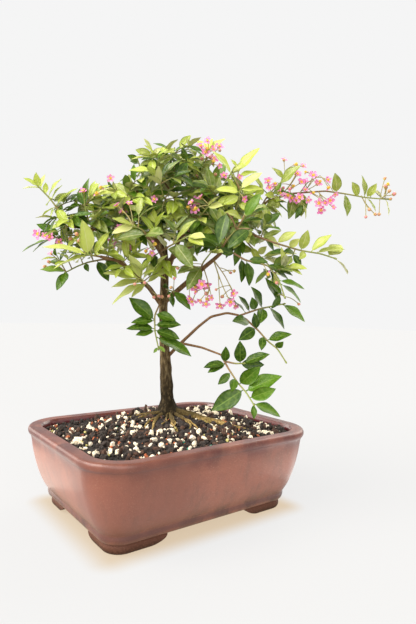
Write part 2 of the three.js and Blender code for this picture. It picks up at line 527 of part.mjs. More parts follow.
// A level rounded rectangle inside the rim's outline, counter-clockwise seen from above
function roundedRing(inset, height, sideSteps = { long: 1, short: 1 }) {
  const halfLength = POT_LENGTH / 2 - inset;
  const halfWidth = POT_WIDTH / 2 - inset;
  const radius = Math.min(Math.max(LEAST_CORNER_RADIUS, RIM_CORNER_RADIUS - inset), halfWidth - LEAST_FLAT);
  const ring = [];
  for (let quarter = 0; quarter < 4; quarter += 1) {
    const xSide = quarter === 0 || quarter === 3 ? 1 : -1;
    const ySide = quarter < 2 ? 1 : -1;
    for (let k = 0; k <= CORNER_STEPS; k += 1) {
      const angle = degrees(90 * (quarter + k / CORNER_STEPS));
      const x = xSide * (halfLength - radius) + radius * Math.cos(angle);
      const y = ySide * (halfWidth - radius) + radius * Math.sin(angle);
      ring.push([x, y, height]);
    }
  }
  const full = [];
  for (let i = 0; i < ring.length; i += 1) {
    const next = ring[(i + 1) % ring.length];
    full.push(ring[i]);
    const straight = (i + 1) % (CORNER_STEPS + 1) === 0;
    const quarter = Math.floor(i / (CORNER_STEPS + 1));
    const steps = quarter % 2 === 0 ? sideSteps.long : sideSteps.short;
    for (let k = 1; straight && k < steps; k += 1) {
      full.push(mixPoint(ring[i], next, k / steps));
    }
  }
  return full;
}

// The gap between two feet: an arch-sided channel right across under the pot
function footGap(gap, length) {
  const shape = new THREE.Shape();
  const below = -CUT_PAST;
  const top = POT_OUTSIDE[0][1];
  const bulge = gap.top / 2 + GAP_BULGE.out;
  shape.moveTo(-gap.bottom / 2, below);
  shape.lineTo(gap.bottom / 2, below);
  shape.quadraticCurveTo(bulge, top * GAP_BULGE.height, gap.top / 2, top);
  shape.lineTo(-gap.top / 2, top);
  shape.quadraticCurveTo(-bulge, top * GAP_BULGE.height, -gap.bottom / 2, below);
  const shaping = { depth: length, bevelEnabled: false, curveSegments: GAP_BULGE.steps };
  const channel = new THREE.ExtrudeGeometry(shape, shaping);
  channel.translate(0, 0, -length / 2);
  channel.rotateX(Math.PI / 2);
  return channel;
}

function makePot() {
  const body = loft([...POT_OUTSIDE, ...POT_INSIDE].map(([inset, height]) => roundedRing(inset, height)));
  const foot = loft(FOOT_OUTSIDE.map(([inset, height]) => roundedRing(inset, height)));
  const inner = 2 * (FOOT_OUTSIDE[0][0] + FOOT_WALL);
  const hollow = new THREE.BoxGeometry(POT_LENGTH - inner, POT_WIDTH - inner, 2 * POT_OUTSIDE[0][1]);
  const acrossWidth = footGap(LONG_GAP, POT_WIDTH);
  const acrossLength = footGap(SHORT_GAP, POT_LENGTH);
  acrossLength.rotateZ(Math.PI / 2);
  let feet = foot.subtract(solidOf(hollow));
  feet = feet.subtract(solidOf(acrossWidth)).subtract(solidOf(acrossLength));
  let pot = body.add(feet);
  for (const side of [-1, 1]) {
    const radius = DRAIN_HOLE_DIAMETER / 2;
    const drill = new THREE.CylinderGeometry(radius, radius, DRILL.length, DRILL.sides);
    drill.rotateX(Math.PI / 2);
    drill.translate((side * DRAIN_HOLE_SPACING) / 2, 0, FLOOR_TOP / 2);
    pot = pot.subtract(solidOf(drill));
  }
  return pot;
}

// A plastic mesh square over a drain hole
function makeScreen(side) {
  const pitch = (SCREEN_SIDE - SCREEN_BAR) / SCREEN_OPENINGS;
  const opening = pitch - SCREEN_BAR;
  const centreX = (side * DRAIN_HOLE_SPACING) / 2;
  const centreZ = FLOOR_TOP + SEAT_GAP + SCREEN_THICKNESS / 2;
  const square = new THREE.BoxGeometry(SCREEN_SIDE, SCREEN_SIDE, SCREEN_THICKNESS);
  square.translate(centreX, 0, centreZ);
  let screen = solidOf(square);
  for (let row = 0; row < SCREEN_OPENINGS; row += 1) {
    for (let column = 0; column < SCREEN_OPENINGS; column += 1) {
      const middle = (SCREEN_OPENINGS - 1) / 2;
      const hole = new THREE.BoxGeometry(opening, opening, 3 * SCREEN_THICKNESS);
      hole.translate(centreX + (column - middle) * pitch, (row - middle) * pitch, centreZ);
      screen = screen.subtract(solidOf(hole));
    }
  }
  return screen;
}

// Height of the soil: level, with a mound round the trunk
function soilHeight(x, y) {
  const [trunkX, trunkY] = fromFront([...TRUNK_BASE, 0]);
  const square = (x - trunkX) ** 2 + (y - trunkY) ** 2;
  return SOIL_LEVEL + MOUND_HEIGHT * Math.exp(-square / (2 * MOUND_SPREAD ** 2));
}

function makeSoil(wood) {
  const random = randomFrom(SOIL_SEED);
  const rings = [];
  for (const [inset, height] of [...POT_INSIDE].reverse()) {
    if (height < SOIL_EDGE) {
      const lift = rings.length === 0 ? SEAT_GAP : 0;
      rings.push(roundedRing(inset + WALL_GAP, height + lift, SOIL_SIDE_STEPS));
    }
  }
  for (const inset of SOIL_RING_INSETS) {
    const ring = roundedRing(inset, 0, SOIL_SIDE_STEPS);
    rings.push(ring.map(([x, y]) => [x, y, soilHeight(x, y) + SOIL_RELIEF * (2 * random() - 1)]));
  }
  let soil = loft(rings).subtract(wood);
  for (const side of [-1, 1]) {
    const width = SCREEN_SIDE + SCREEN_POCKET.wider;
    const depth = 2 * SCREEN_THICKNESS + SCREEN_POCKET.deeper;
    const pocket = new THREE.BoxGeometry(width, width, depth);
    pocket.translate((side * DRAIN_HOLE_SPACING) / 2, 0, FLOOR_TOP + SEAT_GAP);
    soil = soil.subtract(solidOf(pocket));
  }
  return mainBody(soil);
}

// A root's curve on the soil, sinking into it at its tip
function rootCurve(root) {
  const flat = smoothCurve(root.route.map(([right, away]) => fromFront([right, away, 0])), ROUTE_STEPS);
  return flat.map(([x, y], i) => {
    const share = i / (flat.length - 1);
    const sink = ROOT_DIVE * share ** 4;
    return [x, y, soilHeight(x, y) + ROOT_RISE - sink];
  });
}

const woodStems = WOOD.map((stem) => ({
  curve: smoothCurve(stem.route.map(fromFront), ROUTE_STEPS),
  radii: stem.radii,
  sides: stem.sides,
}));
const rootStems = ROOTS.map((root) => ({ curve: rootCurve(root), radii: root.radii, sides: ROOT_SIDES }));

function makeWood(grow = 0) {
  const stems = [...woodStems, ...rootStems];
  return mainBody(joined(stems.map((stem) => tube(stem.curve, stem.radii, stem.sides, grow))));
}

// What already stands in the way of a new leaf or flower: bars with a radius, and flat triangles
const inTheWay = [];

function box(bars) {
  const low = [Infinity, Infinity, Infinity];
  const high = [-Infinity, -Infinity, -Infinity];
  for (const bar of bars) {
    for (const end of [bar.a, bar.b]) {
      for (let i = 0; i < 3; i += 1) {
        low[i] = Math.min(low[i], end[i] - bar.radius);
        high[i] = Math.max(high[i], end[i] + bar.radius);
      }
    }
  }
  return { low, high };
}

const reaches = (a, b, gap) => [0, 1, 2].every((i) => a.low[i] <= b.high[i] + gap);
const boxesMeet = (a, b, gap) => reaches(a, b, gap) && reaches(b, a, gap);

// Shortest distance between two straight bars
function barDistance(p, q) {
  const d1 = sub(p.b, p.a);
  const d2 = sub(q.b, q.a);
  const r = sub(p.a, q.a);
  const a = dot(d1, d1);
  const e = dot(d2, d2);
  const f = dot(d2, r);
  const c = dot(d1, r);
  const b = dot(d1, d2);
  const flat = a * e - b * b;
  const clamp = (v) => Math.min(1, Math.max(0, v));
  let s = flat > NEARLY_NIL ? clamp((b * f - c * e) / flat) : 0;
  let t = (b * s + f) / e;
  if (t < 0) {
    t = 0;
    s = clamp(-c / a);
  } else if (t > 1) {
    t = 1;
    s = clamp((b - c) / a);
  }
  return size(sub(add(p.a, times(d1, s)), add(q.a, times(d2, t))));
}

// Whether a straight bar passes through a triangle
function passesThrough(bar, [p, q, r]) {
  const direction = sub(bar.b, bar.a);
  const e1 = sub(q, p);
  const e2 = sub(r, p);
  const h = cross(direction, e2);
  const scale = dot(e1, h);
  if (Math.abs(scale) < NEARLY_NIL) {
    return false;
  }
  const s = sub(bar.a, p);
  const u = dot(s, h) / scale;
  const k = cross(s, e1);
  const v = dot(direction, k) / scale;
  const t = dot(e2, k) / scale;
  return u >= 0 && v >= 0 && u + v <= 1 && t >= 0 && t <= 1;
}

// Whether a new thing keeps clear of all that is there, its own twig excepted
function isClear(thing, own) {
  const around = box(thing.bars);
  for (const other of inTheWay) {
    const sameTwig = other.own === own;
    if ((sameTwig && other.kind === 'twig') || !boxesMeet(around, other.around, LEAF_CLEARANCE)) {
      continue;
    }
    const mine = sameTwig ? thing.bars.filter((bar) => !bar.atBase) : thing.bars;
    const theirs = sameTwig ? other.bars.filter((bar) => !bar.atBase) : other.bars;
    for (const p of mine) {
      if (theirs.some((q) => barDistance(p, q) < p.radius + q.radius + LEAF_CLEARANCE)) {
        return false;
      }
      if (other.triangles.some((triangle) => passesThrough(p, triangle))) {
        return false;
      }
    }
    if (theirs.some((q) => thing.triangles.some((triangle) => passesThrough(q, triangle)))) {
      return false;
    }
  }
  return true;
}

function keep(thing, own, kind) {
  inTheWay.push({ ...thing, own, kind, around: box(thing.bars) });
}

function barsAlong(curve, radii) {
  const bars = [];
  for (let i = 1; i < curve.length; i += 1) {
    const share = (i - 1) / (curve.length - 1);
    const radius = mix(radii[0], radii[radii.length - 1], share);
    bars.push({ a: curve[i - 1], b: curve[i], radius });
  }
  return bars;
}

// One leaf: the outline of its arched middle surface, from the root round by the tip
function leafOutline(root, direction, face, length) {
  const across = cross(face, direction);
  const at = (share, side) => {
    const out = times(direction, length * share);
    const down = times(face, -LEAF_ARCH * length * share * share);
    const sideways = times(across, (side * LEAF_WIDTH * length) / 2);
    return add(add(add(root, out), down), sideways);
  };
  const [[share1, side1], [share2, side2]] = LEAF_SHOULDERS;
  return [at(0, 0), at(share1, side1), at(share2, side2), at(1, 0), at(share2, -side2), at(share1, -side1)];
}

// A leaf's triangles by outline point: across the root, twice across the middle, and across the tip
const LEAF_TRIANGLES = [[0, 1, 5], [1, 2, 4], [1, 4, 5], [2, 3, 4]];

function leafObstacle(outline) {
  const radius = LEAF_THICKNESS / 2;
  const edges = [[0, 1], [1, 2], [2, 3], [3, 4], [4, 5], [5, 0], [1, 5], [2, 4]];
  const bars = edges.map(([i, j]) => ({ a: outline[i], b: outline[j], radius, atBase: i * j === 0 }));
  return { bars, triangles: LEAF_TRIANGLES.map((corners) => corners.map((i) => outline[i])) };
}

// A closed plate round a middle outline, with the same triangles on both of its faces
function makePlate(outline, triangles, face, thickness) {
  const count = outline.length;
  const top = outline.map((point) => add(point, times(face, thickness / 2)));
  const bottom = outline.map((point) => add(point, times(face, -thickness / 2)));
  const sides = [];
  for (const [i, j, k] of triangles) {
    sides.push([i, k, j], [count + i, count + j, count + k]);
  }
  for (let k = 0; k < count; k += 1) {
    const next = (k + 1) % count;
    sides.push([k, next, count + next], [k, count + next, count + k]);
  }
  return solid([...top, ...bottom], sides);
}

// The way a leaf points and faces, for one try at its place
function leafPose(curve, share, turn, random, tip) {
  const { point, direction: stem } = along(curve, share);
  const upright = Math.abs(stem[2]) < LEVEL_LIMIT ? [0, 0, 1] : [0, 1, 0];
  const sideways = unit(cross(stem, upright));
  const upward = cross(sideways, stem);
  const angle = degrees(turn + LEAF_JITTER.turn * (random() - 0.5));
  const open = mix(...LEAF_SPREAD, share) * (tip ? LEAF_TIP_SPREAD : 1);
  const spread = degrees(open + LEAF_JITTER.spread * (random() - 0.5));
  const out = add(times(sideways, Math.cos(angle)), times(upward, LEAF_FLATTEN * Math.sin(angle)));
  let direction = add(times(stem, Math.cos(spread)), times(unit(out), Math.sin(spread)));
  direction = unit(add(direction, [0, 0, -LEAF_DROOP * (0.5 + random())]));
  const loose = [random() - 0.5, random() - 0.5, random() - 0.5];
  let face = add(add(fromFront(LIGHT_SIDE), times(stem, LEAF_ALONG)), times(loose, LEAF_JITTER.face));
  face = unit(sub(face, times(direction, dot(face, direction))));
  return { point, direction, face, stem };
}

// A leaf starts just under the skin of its twig
function leafRoot({ point, direction, stem }, share) {
  const radius = mix(...TWIG_RADII, share);
  const depth = (LEAF_ROOT * radius) / size(cross(direction, stem));
  return add(point, times(direction, Math.min(LEAF_ROOT_LIMIT, depth)));
}

// A leaf that ends at a given tip: its face looks to the front, and rolls up towards the light
function placedPose(curve, share, tip, roll) {
  const { point, direction: stem } = along(curve, share);
  const chord = sub(tip, point);
  const length = size(chord);
  const axis = times(chord, 1 / length);
  const front = fromFront([0, -1, 0]);
  const flat = unit(sub(front, times(axis, dot(front, axis))));
  const across = cross(axis, flat);
  const up = across[2] < 0 ? times(across, -1) : across;
  const loose = add(times(flat, Math.cos(degrees(roll))), times(up, Math.sin(degrees(roll))));
  const direction = unit(add(axis, times(loose, LEAF_ARCH)));
  const face = unit(sub(loose, times(direction, dot(loose, direction))));
  return { point, direction, face, stem, length };
}

const shoots = SHOOTS.map((shoot) => {
  const routes = shoot.side ? [shoot.route, shoot.side] : [shoot.route];
  const curves = routes.map((route) => smoothCurve(route.map(fromFront), ROUTE_STEPS));
  return { leaf: 0, pairs: 0, placed: [], ...shoot, curves };
});

// Placed leaves: the tip comes nearer or goes farther away, and the leaf rolls, until it is clear
function placeLeaves(shoot) {
  const leaves = [];
  for (const [twig, share, [right, away, up], roll] of shoot.placed) {
    for (const [shift, turn] of PLACED_TRIES) {
      const tip = fromFront([right, away + shift, up]);
      const pose = placedPose(shoot.curves[twig], share, tip, roll + turn);
      const outline = leafOutline(leafRoot(pose, share), pose.direction, pose.face, pose.length);
      const obstacle = leafObstacle(outline);
      if (isClear(obstacle, shoot.name)) {
        keep(obstacle, shoot.name, 'leaf');
        leaves.push({ outline, face: pose.face });
        break;
      }
    }
  }
  return leaves;
}

function growLeaves(shoot, number) {
  const leaves = [];
  const rows = [];
  for (let pair = 0; pair < shoot.pairs; pair += 1) {
    const share = mix(LEAF_FIRST, LEAF_LAST, pair / (shoot.pairs - 1));
    rows.push({ share, tip: pair === shoot.pairs - 1, pair });
  }
  for (const row of rows) {
    for (const side of [0, 1]) {
      const random = randomFrom(LEAF_SEED.shoot * (number + 1) + LEAF_SEED.pair * row.pair + side);
      const length = shoot.leaf * mix(...LEAF_TAPER, row.share ** 2) * mix(...LEAF_VARIATION, random());
      for (let attempt = 0; attempt < LEAF_TRIES; attempt += 1) {
        const turn = 90 * row.pair + 180 * side + LEAF_RETRY_TURN * attempt;
        const pose = leafPose(shoot.curves[0], row.share, turn, random, row.tip);
        const root = leafRoot(pose, row.share);
        const outline = leafOutline(root, pose.direction, pose.face, length);
        const obstacle = leafObstacle(outline);
        if (isClear(obstacle, shoot.name)) {
          keep(obstacle, shoot.name, 'leaf');
          leaves.push({ outline, face: pose.face });
          break;
        }
      }
    }
  }
  return leaves;
}

function makeShoot(shoot, leaves, woodGrown) {
  const twigs = shoot.curves.map((curve) => tube(curve, TWIG_RADII, TWIG_SIDES));
  const blades = leaves.map(({ outline, face }) => makePlate(outline, LEAF_TRIANGLES, face, LEAF_THICKNESS));
  return mainBody(joined([...twigs, ...blades]).subtract(woodGrown));
}

// An open blossom: five petals round a small flat middle, which the notches between them reach
function blossomOutline(centre, face) {
  const start = Math.abs(face[2]) < UPRIGHT_LIMIT ? [0, 0, 1] : [1, 0, 0];
  const across = unit(cross(start, face));
  const other = cross(face, across);
  const outline = [];
  for (let petal = 0; petal < PETALS; petal += 1) {
    for (const [turn, reach] of PETAL_OUTLINE) {
      const angle = degrees((360 / PETALS) * petal + turn);
      const radius = BLOSSOM_RADIUS * reach;
      const flat = add(times(across, radius * Math.cos(angle)), times(other, radius * Math.sin(angle)));
      const lift = reach < 1 ? 0 : PETAL_CUP * radius;
      outline.push(add(add(centre, flat), times(face, lift)));
    }
  }
  return outline;
}

// The star's triangles by number: two for each petal, and a fan over the middle
function blossomTriangles() {
  const step = PETAL_OUTLINE.length;
  const count = PETALS * step;
  const triangles = [];
  for (let notch = 0; notch < count; notch += step) {
    const next = (notch + step) % count;
    triangles.push([notch, notch + 1, notch + 2], [notch, notch + 2, next]);
    if (notch > 0 && next > 0) {
      triangles.push([0, notch, next]);
    }
  }
  return triangles;
}

function blossomObstacle(outline, stalk) {
  const radius = PETAL_THICKNESS / 2;
  const rim = outline.map((point, i) => ({ a: point, b: outline[(i + 1) % outline.length], radius }));
  const triangles = blossomTriangles().map((corners) => corners.map((i) => outline[i]));
  return { bars: [...rim, ...stalk], triangles };
}

// A blossom and its stalk in one: the notches of the star's underside run down into the stalk's foot
function makeBlossom(outline, face, foot, head) {
  const count = outline.length;
  const step = PETAL_OUTLINE.length;
  const top = outline.map((point) => add(point, times(face, PETAL_THICKNESS / 2)));
  const bottom = outline.map((point) => add(point, times(face, -PETAL_THICKNESS / 2)));
  const way = unit(sub(head, foot));
  const triangles = [];
  for (const [i, j, k] of blossomTriangles()) {
    triangles.push([i, j, k]);
    if ([i, j, k].some((corner) => corner % step !== 0)) {
      triangles.push([count + i, count + k, count + j]);
    }
  }
  for (let k = 0; k < count; k += 1) {
    const next = (k + 1) % count;
    triangles.push([k, count + next, next], [k, count + k, count + next]);
  }
  const stalk = [];
  for (let petal = 0; petal < PETALS; petal += 1) {
    const notch = sub(outline[petal * step], head);
    const flat = unit(sub(notch, times(way, dot(notch, way))));
    stalk.push(add(foot, times(flat, STALK_RADIUS)));
    const high = count + petal * step;
    const highNext = count + ((petal + 1) % PETALS) * step;
    const low = 2 * count + petal;
    const lowNext = 2 * count + ((petal + 1) % PETALS);
    triangles.push([high, low, highNext], [highNext, low, lowNext]);
    if (petal > 0 && petal < PETALS - 1) {
      triangles.push([2 * count, lowNext, low]);
    }
  }
  return solid([...top, ...bottom, ...stalk], triangles);
}

// A closed bud and its stalk in one
function makeBud(foot, head) {
  const way = unit(sub(head, foot));
  const heel = add(head, times(way, -BUD_RADIUS));
  const tip = add(head, times(way, BUD_RADIUS));
  const radii = [STALK_RADIUS, STALK_RADIUS, BUD_RADIUS, BUD_RADIUS * BUD_TIP];
  return tube([foot, heel, head, tip], radii, BUD_SIDES);
}

// The short common stalk of a bunch, from the twig towards the middle of the bunch
function placeBunch(bunch) {
  const start = fromFront(bunch.stalk);
  const centre = fromFront(bunch.centre);
  const way = sub(centre, start);
  const end = add(start, times(unit(way), Math.max(COMMON_STALK.least, COMMON_STALK.share * size(way))));
  const common = { a: mixPoint(start, end, STALK_FREE), b: end, radius: COMMON_STALK.radius };
  keep({ bars: [common], triangles: [] }, bunch.name, 'twig');
  return { ...bunch, start, end, centre };
}

// Flowers and buds of a bunch, on single stalks that leave the common one after another and fan out
function growBunch(bunch, number) {
  const { start, end, centre } = bunch;
  const heads = [];
  const count = bunch.open + bunch.buds;
  for (let n = 0; n < count; n += 1) {
    const random = randomFrom(BLOSSOM_SEED.start + BLOSSOM_SEED.bunch * number + n);
    for (let attempt = 0; attempt < BLOSSOM_TRIES; attempt += 1) {
      const around = 360 * ((n * GOLDEN_TURN + number * BUNCH_TURN) % 1);
      const turn = degrees(around + BLOSSOM_JITTER * (random() - 0.5) + BLOSSOM_RETRY_TURN * attempt);
      const reach = bunch.spread * mix(BLOSSOM_NEAREST, 1, random());
      const rise = bunch.spread * (2 * random() - 1);
      const offset = [Math.cos(turn) * reach, Math.sin(turn) * reach, rise];
      const head = add(centre, offset.map((value, i) => value * BLOSSOM_SPREAD[i]));
      const face = unit(add(unit(sub(head, start)), fromFront(BLOSSOM_SIDE)));
      const open = n < bunch.open;
      const fork = mixPoint(start, end, mix(COMMON_STALK.first, COMMON_STALK.last, n / (count - 1)));
      const foot = add(fork, times(unit(sub(head, fork)), STALK_ROOT));
      const halfway = mixPoint(foot, head, 0.5);
      const stalk = [
        { a: foot, b: halfway, radius: STALK_RADIUS, atBase: true },
        { a: halfway, b: head, radius: STALK_NECK },
      ];
      const ball = { a: head, b: add(head, times(face, BUD_MIDDLE)), radius: BUD_RADIUS };
      const bud = { bars: [...stalk, ball], triangles: [] };
      const outline = open ? blossomOutline(head, face) : null;
      const obstacle = open ? blossomObstacle(outline, stalk) : bud;
      if (isClear(obstacle, bunch.name)) {
        keep(obstacle, bunch.name, 'flower');
        heads.push({ foot, head, face, outline });
        break;
      }
    }
  }
  return { ...bunch, heads };
}

function makeBunch({ start, end, heads }, hostGrown) {
  const solids = [tube([start, end], [COMMON_STALK.radius, COMMON_STALK.radius], COMMON_STALK.sides)];
  for (const { foot, head, face, outline } of heads) {
    solids.push(outline ? makeBlossom(outline, face, foot, head) : makeBud(foot, head));
  }
  return mainBody(joined(solids).subtract(hostGrown));
}

// Grow: stems first, then flowers, then leaves, each clear of what is there
for (const stem of [...woodStems, ...rootStems]) {
  keep({ bars: barsAlong(stem.curve, stem.radii), triangles: [] }, 'wood', 'wood');
}
for (const shoot of shoots) {
  for (const curve of shoot.curves) {
    keep({ bars: barsAlong(curve, TWIG_RADII), triangles: [] }, shoot.name, 'twig');
  }
}
const bunches = BUNCHES.map(placeBunch).map(growBunch);
const placedSets = shoots.map(placeLeaves);
const leafySets = shoots.map((shoot, number) => {
  const leaves = [...placedSets[number], ...growLeaves(shoot, number)];
  return { shoot, leaves };
});

// Put the tree together in its pot
const group = new THREE.Group();
const woodGrown = makeWood(SEAT_GAP);
const twigCurves = shoots.flatMap((shoot) => shoot.curves);
const twigsGrown = twigCurves.map((curve) => tube(curve, TWIG_RADII, TWIG_SIDES, TWIG_CLEARANCE));
const stemsGrown = joined([woodGrown, ...twigsGrown]);
group.add(piece('pot', makePot(), FINISH.glaze));
group.add(piece('drain_screen_left', makeScreen(-1), FINISH.mesh));
group.add(piece('drain_screen_right', makeScreen(1), FINISH.mesh));
group.add(piece('soil', makeSoil(woodGrown), FINISH.soil));
group.add(piece('wood', makeWood(), FINISH.bark));
for (const { shoot, leaves } of leafySets) {
  group.add(piece(shoot.name, makeShoot(shoot, leaves, woodGrown), FINISH[shoot.tone]));
}
for (const bunch of bunches) {
  group.add(piece(bunch.name, makeBunch(bunch, stemsGrown), FINISH.petal));
}

// Stand the whole on its origin
const bounds = new THREE.Box3().setFromObject(group);
const middle = bounds.getCenter(new THREE.Vector3());
group.position.set(-middle.x, -middle.y, -bounds.min.z);
group.updateMatrixWorld(true);

export default group;
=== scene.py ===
import math

import bpy
import numpy as np
from mathutils import Matrix, Vector, noise


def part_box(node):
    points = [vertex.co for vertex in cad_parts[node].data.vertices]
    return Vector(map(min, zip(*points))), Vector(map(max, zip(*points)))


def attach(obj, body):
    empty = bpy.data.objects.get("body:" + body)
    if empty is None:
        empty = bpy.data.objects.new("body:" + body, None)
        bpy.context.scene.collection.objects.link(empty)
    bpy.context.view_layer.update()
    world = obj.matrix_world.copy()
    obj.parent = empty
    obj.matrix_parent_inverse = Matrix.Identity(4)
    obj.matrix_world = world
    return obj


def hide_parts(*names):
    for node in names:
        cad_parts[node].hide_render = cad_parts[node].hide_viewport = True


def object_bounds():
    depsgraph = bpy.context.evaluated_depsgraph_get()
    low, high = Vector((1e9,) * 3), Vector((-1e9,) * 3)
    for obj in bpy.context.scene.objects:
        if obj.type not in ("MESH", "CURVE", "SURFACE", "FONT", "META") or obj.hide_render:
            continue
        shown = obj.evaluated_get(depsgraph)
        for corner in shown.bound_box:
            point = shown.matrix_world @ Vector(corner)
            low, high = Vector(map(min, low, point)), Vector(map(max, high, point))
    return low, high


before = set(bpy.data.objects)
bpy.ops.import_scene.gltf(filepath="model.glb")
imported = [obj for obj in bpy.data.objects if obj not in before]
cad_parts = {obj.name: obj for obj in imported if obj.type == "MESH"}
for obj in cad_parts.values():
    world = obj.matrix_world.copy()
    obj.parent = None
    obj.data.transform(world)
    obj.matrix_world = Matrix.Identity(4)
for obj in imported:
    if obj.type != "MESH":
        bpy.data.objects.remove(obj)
cad_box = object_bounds()

# Lengths below are millimetres in the pot's own frame: X along its long side, -Y its front long side,
# Z up from the surface that it stands on, with the middle of the pot at X = Y = 0.
MM = 0.001
pot_low, pot_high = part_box("pot")
POT_CENTRE = ((pot_low[0] + pot_high[0]) / 2, (pot_low[1] + pot_high[1]) / 2, pot_low[2])

# Pot: same sizes and section as the CAD pot
POT_LENGTH, POT_WIDTH, POT_HEIGHT = 220, 178, 73
RIM_CORNER_RADIUS = 37
LEAST_CORNER_RADIUS = 8
FLOOR_TOP = 16
DRAIN_HOLE_DIAMETER = 14
DRAIN_HOLE_SPACING = 96
FOOT_WALL = 15
LONG_GAP = {"top": 80, "bottom": 112}
SHORT_GAP = {"top": 52, "bottom": 78}
POT_OUTSIDE = [
    (22.6, 7.8), (19.6, 9), (18.2, 12.6), (18.5, 15.8), (16.8, 18), (12.8, 25), (8.3, 37),
    (4.6, 52), (2.8, 65.4), (0.6, 67), (0, 70), (0.9, 72.3), (2.9, POT_HEIGHT),
]
POT_INSIDE = [(11.2, 72.6), (12.8, 70), (13.4, 62), (19, 31), (30, FLOOR_TOP)]
FOOT_OUTSIDE = [(24.8, 0), (22.6, 0.8), (21.6, 4.4), (23.4, 9)]
FOOT_TOP = (23.4, 12)
FOOT_BRACKET = 2.2
FOOT_CUT = 2
FOOT_STEPS = {"corner": 12, "side": 7}

# Soil
SOIL_LEVEL = 68
MOUND_HEIGHT = 8
MOUND_SPREAD = 30

# Tree: routes as [right, away, up] seen from the front corner, as in the CAD part
TREE_TURN = math.radians(37)
TRUNK_BASE = (-3, 38)
WOOD = [
    ([12.5, 11, 6.6, 5.9, 4.9, 4.3, 4.2, 3.7, 2.4],
     [[-3, 38, 62], [-3, 38, 76], [-4, 38, 90], [-6, 38, 119], [-8, 37, 144], [-10, 36, 180],
      [-9, 35, 215], [-11, 36, 243], [-17, 36, 259]]),
    ([2.6, 1.8, 1.5, 1.5],
     [[-15, 36, 254], [-20, 30, 274], [-31, 22, 291], [-45, 14, 301]]),
    ([3, 2.7, 2.4, 2.1, 1.8, 1.5],
     [[-9, 35, 212], [-1, 33, 234], [5, 33, 252], [4, 33, 270], [0, 32, 289], [-4, 31, 306]]),
    ([3, 2.8, 2.5, 2.1, 1.5],
     [[-8, 35, 188], [7, 28, 201], [26, 10, 217], [39, -2, 227], [50, -12, 236]]),
    ([2, 1.7, 1.5, 1.3], [[5, 33, 253], [25, 24, 262], [52, 8, 260], [78, -6, 249]]),
    ([2, 1.9, 1.8, 1.6, 1.4, 1.2],
     [[4, 33, 266], [30, 44, 268], [61, 52, 269], [83, 56, 280], [94, 56, 296], [118, 54, 304]]),
    ([2.6, 2.5, 2.2, 1.9, 1.7, 1.6, 1.5, 1.4],
     [[-7, 38, 130], [4, 34, 142], [11, 30, 149], [26, 20, 164], [38, 12, 174], [53, 4, 178],
      [64, 0, 176], [71, -4, 172]]),
    ([1.8, 1.5, 1.2], [[9, 31, 147], [30, 18, 144], [48, 0, 139]]),
    ([2.8, 2.6, 2.2, 1.9, 1.5],
     [[-10, 36, 182], [-23, 24, 201], [-39, 8, 215], [-49, -4, 224], [-63, -14, 226]]),
    ([2.6, 2.1, 1.7, 1.5, 1.2],
     [[-11, 36, 243], [-26, 26, 254], [-52, 8, 252], [-71, -4, 252], [-92, -12, 253]]),
    ([2.8, 2.2, 1.8, 1.3], [[-9, 35, 226], [7, 60, 243], [28, 84, 258], [49, 102, 269]]),
    ([2.6, 2.1, 1.7, 1.3], [[-11, 36, 240], [-26, 62, 253], [-44, 84, 267], [-63, 100, 279]]),
    ([2.4, 1.8, 1.5, 1.2], [[-9, 35, 222], [-10, 14, 231], [-14, -8, 238], [-18, -26, 242]]),
]
ROOTS = [
    ([3.4, 2.2, 1.4], [[-3, 36], [3, 14], [8, -8], [13, -26]]),
    ([3, 1.8, 1.1], [[-1, 38], [14, 24], [20, 6], [19, -16]]),
    ([4, 2.6, 1.6], [[-3, 38], [20, 35], [44, 22], [68, 12], [96, 8]]),
    ([3.2, 1.9, 1.1], [[-5, 36], [-14, 18], [-12, -2], [-14, -20]]),
    ([3.2, 1.9, 1.1], [[-5, 38], [-22, 31], [-34, 18], [-50, 22]]),
    ([3.2, 1.9, 1.2], [[-3, 40], [4, 60], [0, 78]]),
    ([2.8, 1.7, 1.1], [[-1, 40], [22, 52], [44, 60]]),
]
ROOT_DIVE = 5
ROOT_RISE = 0.7

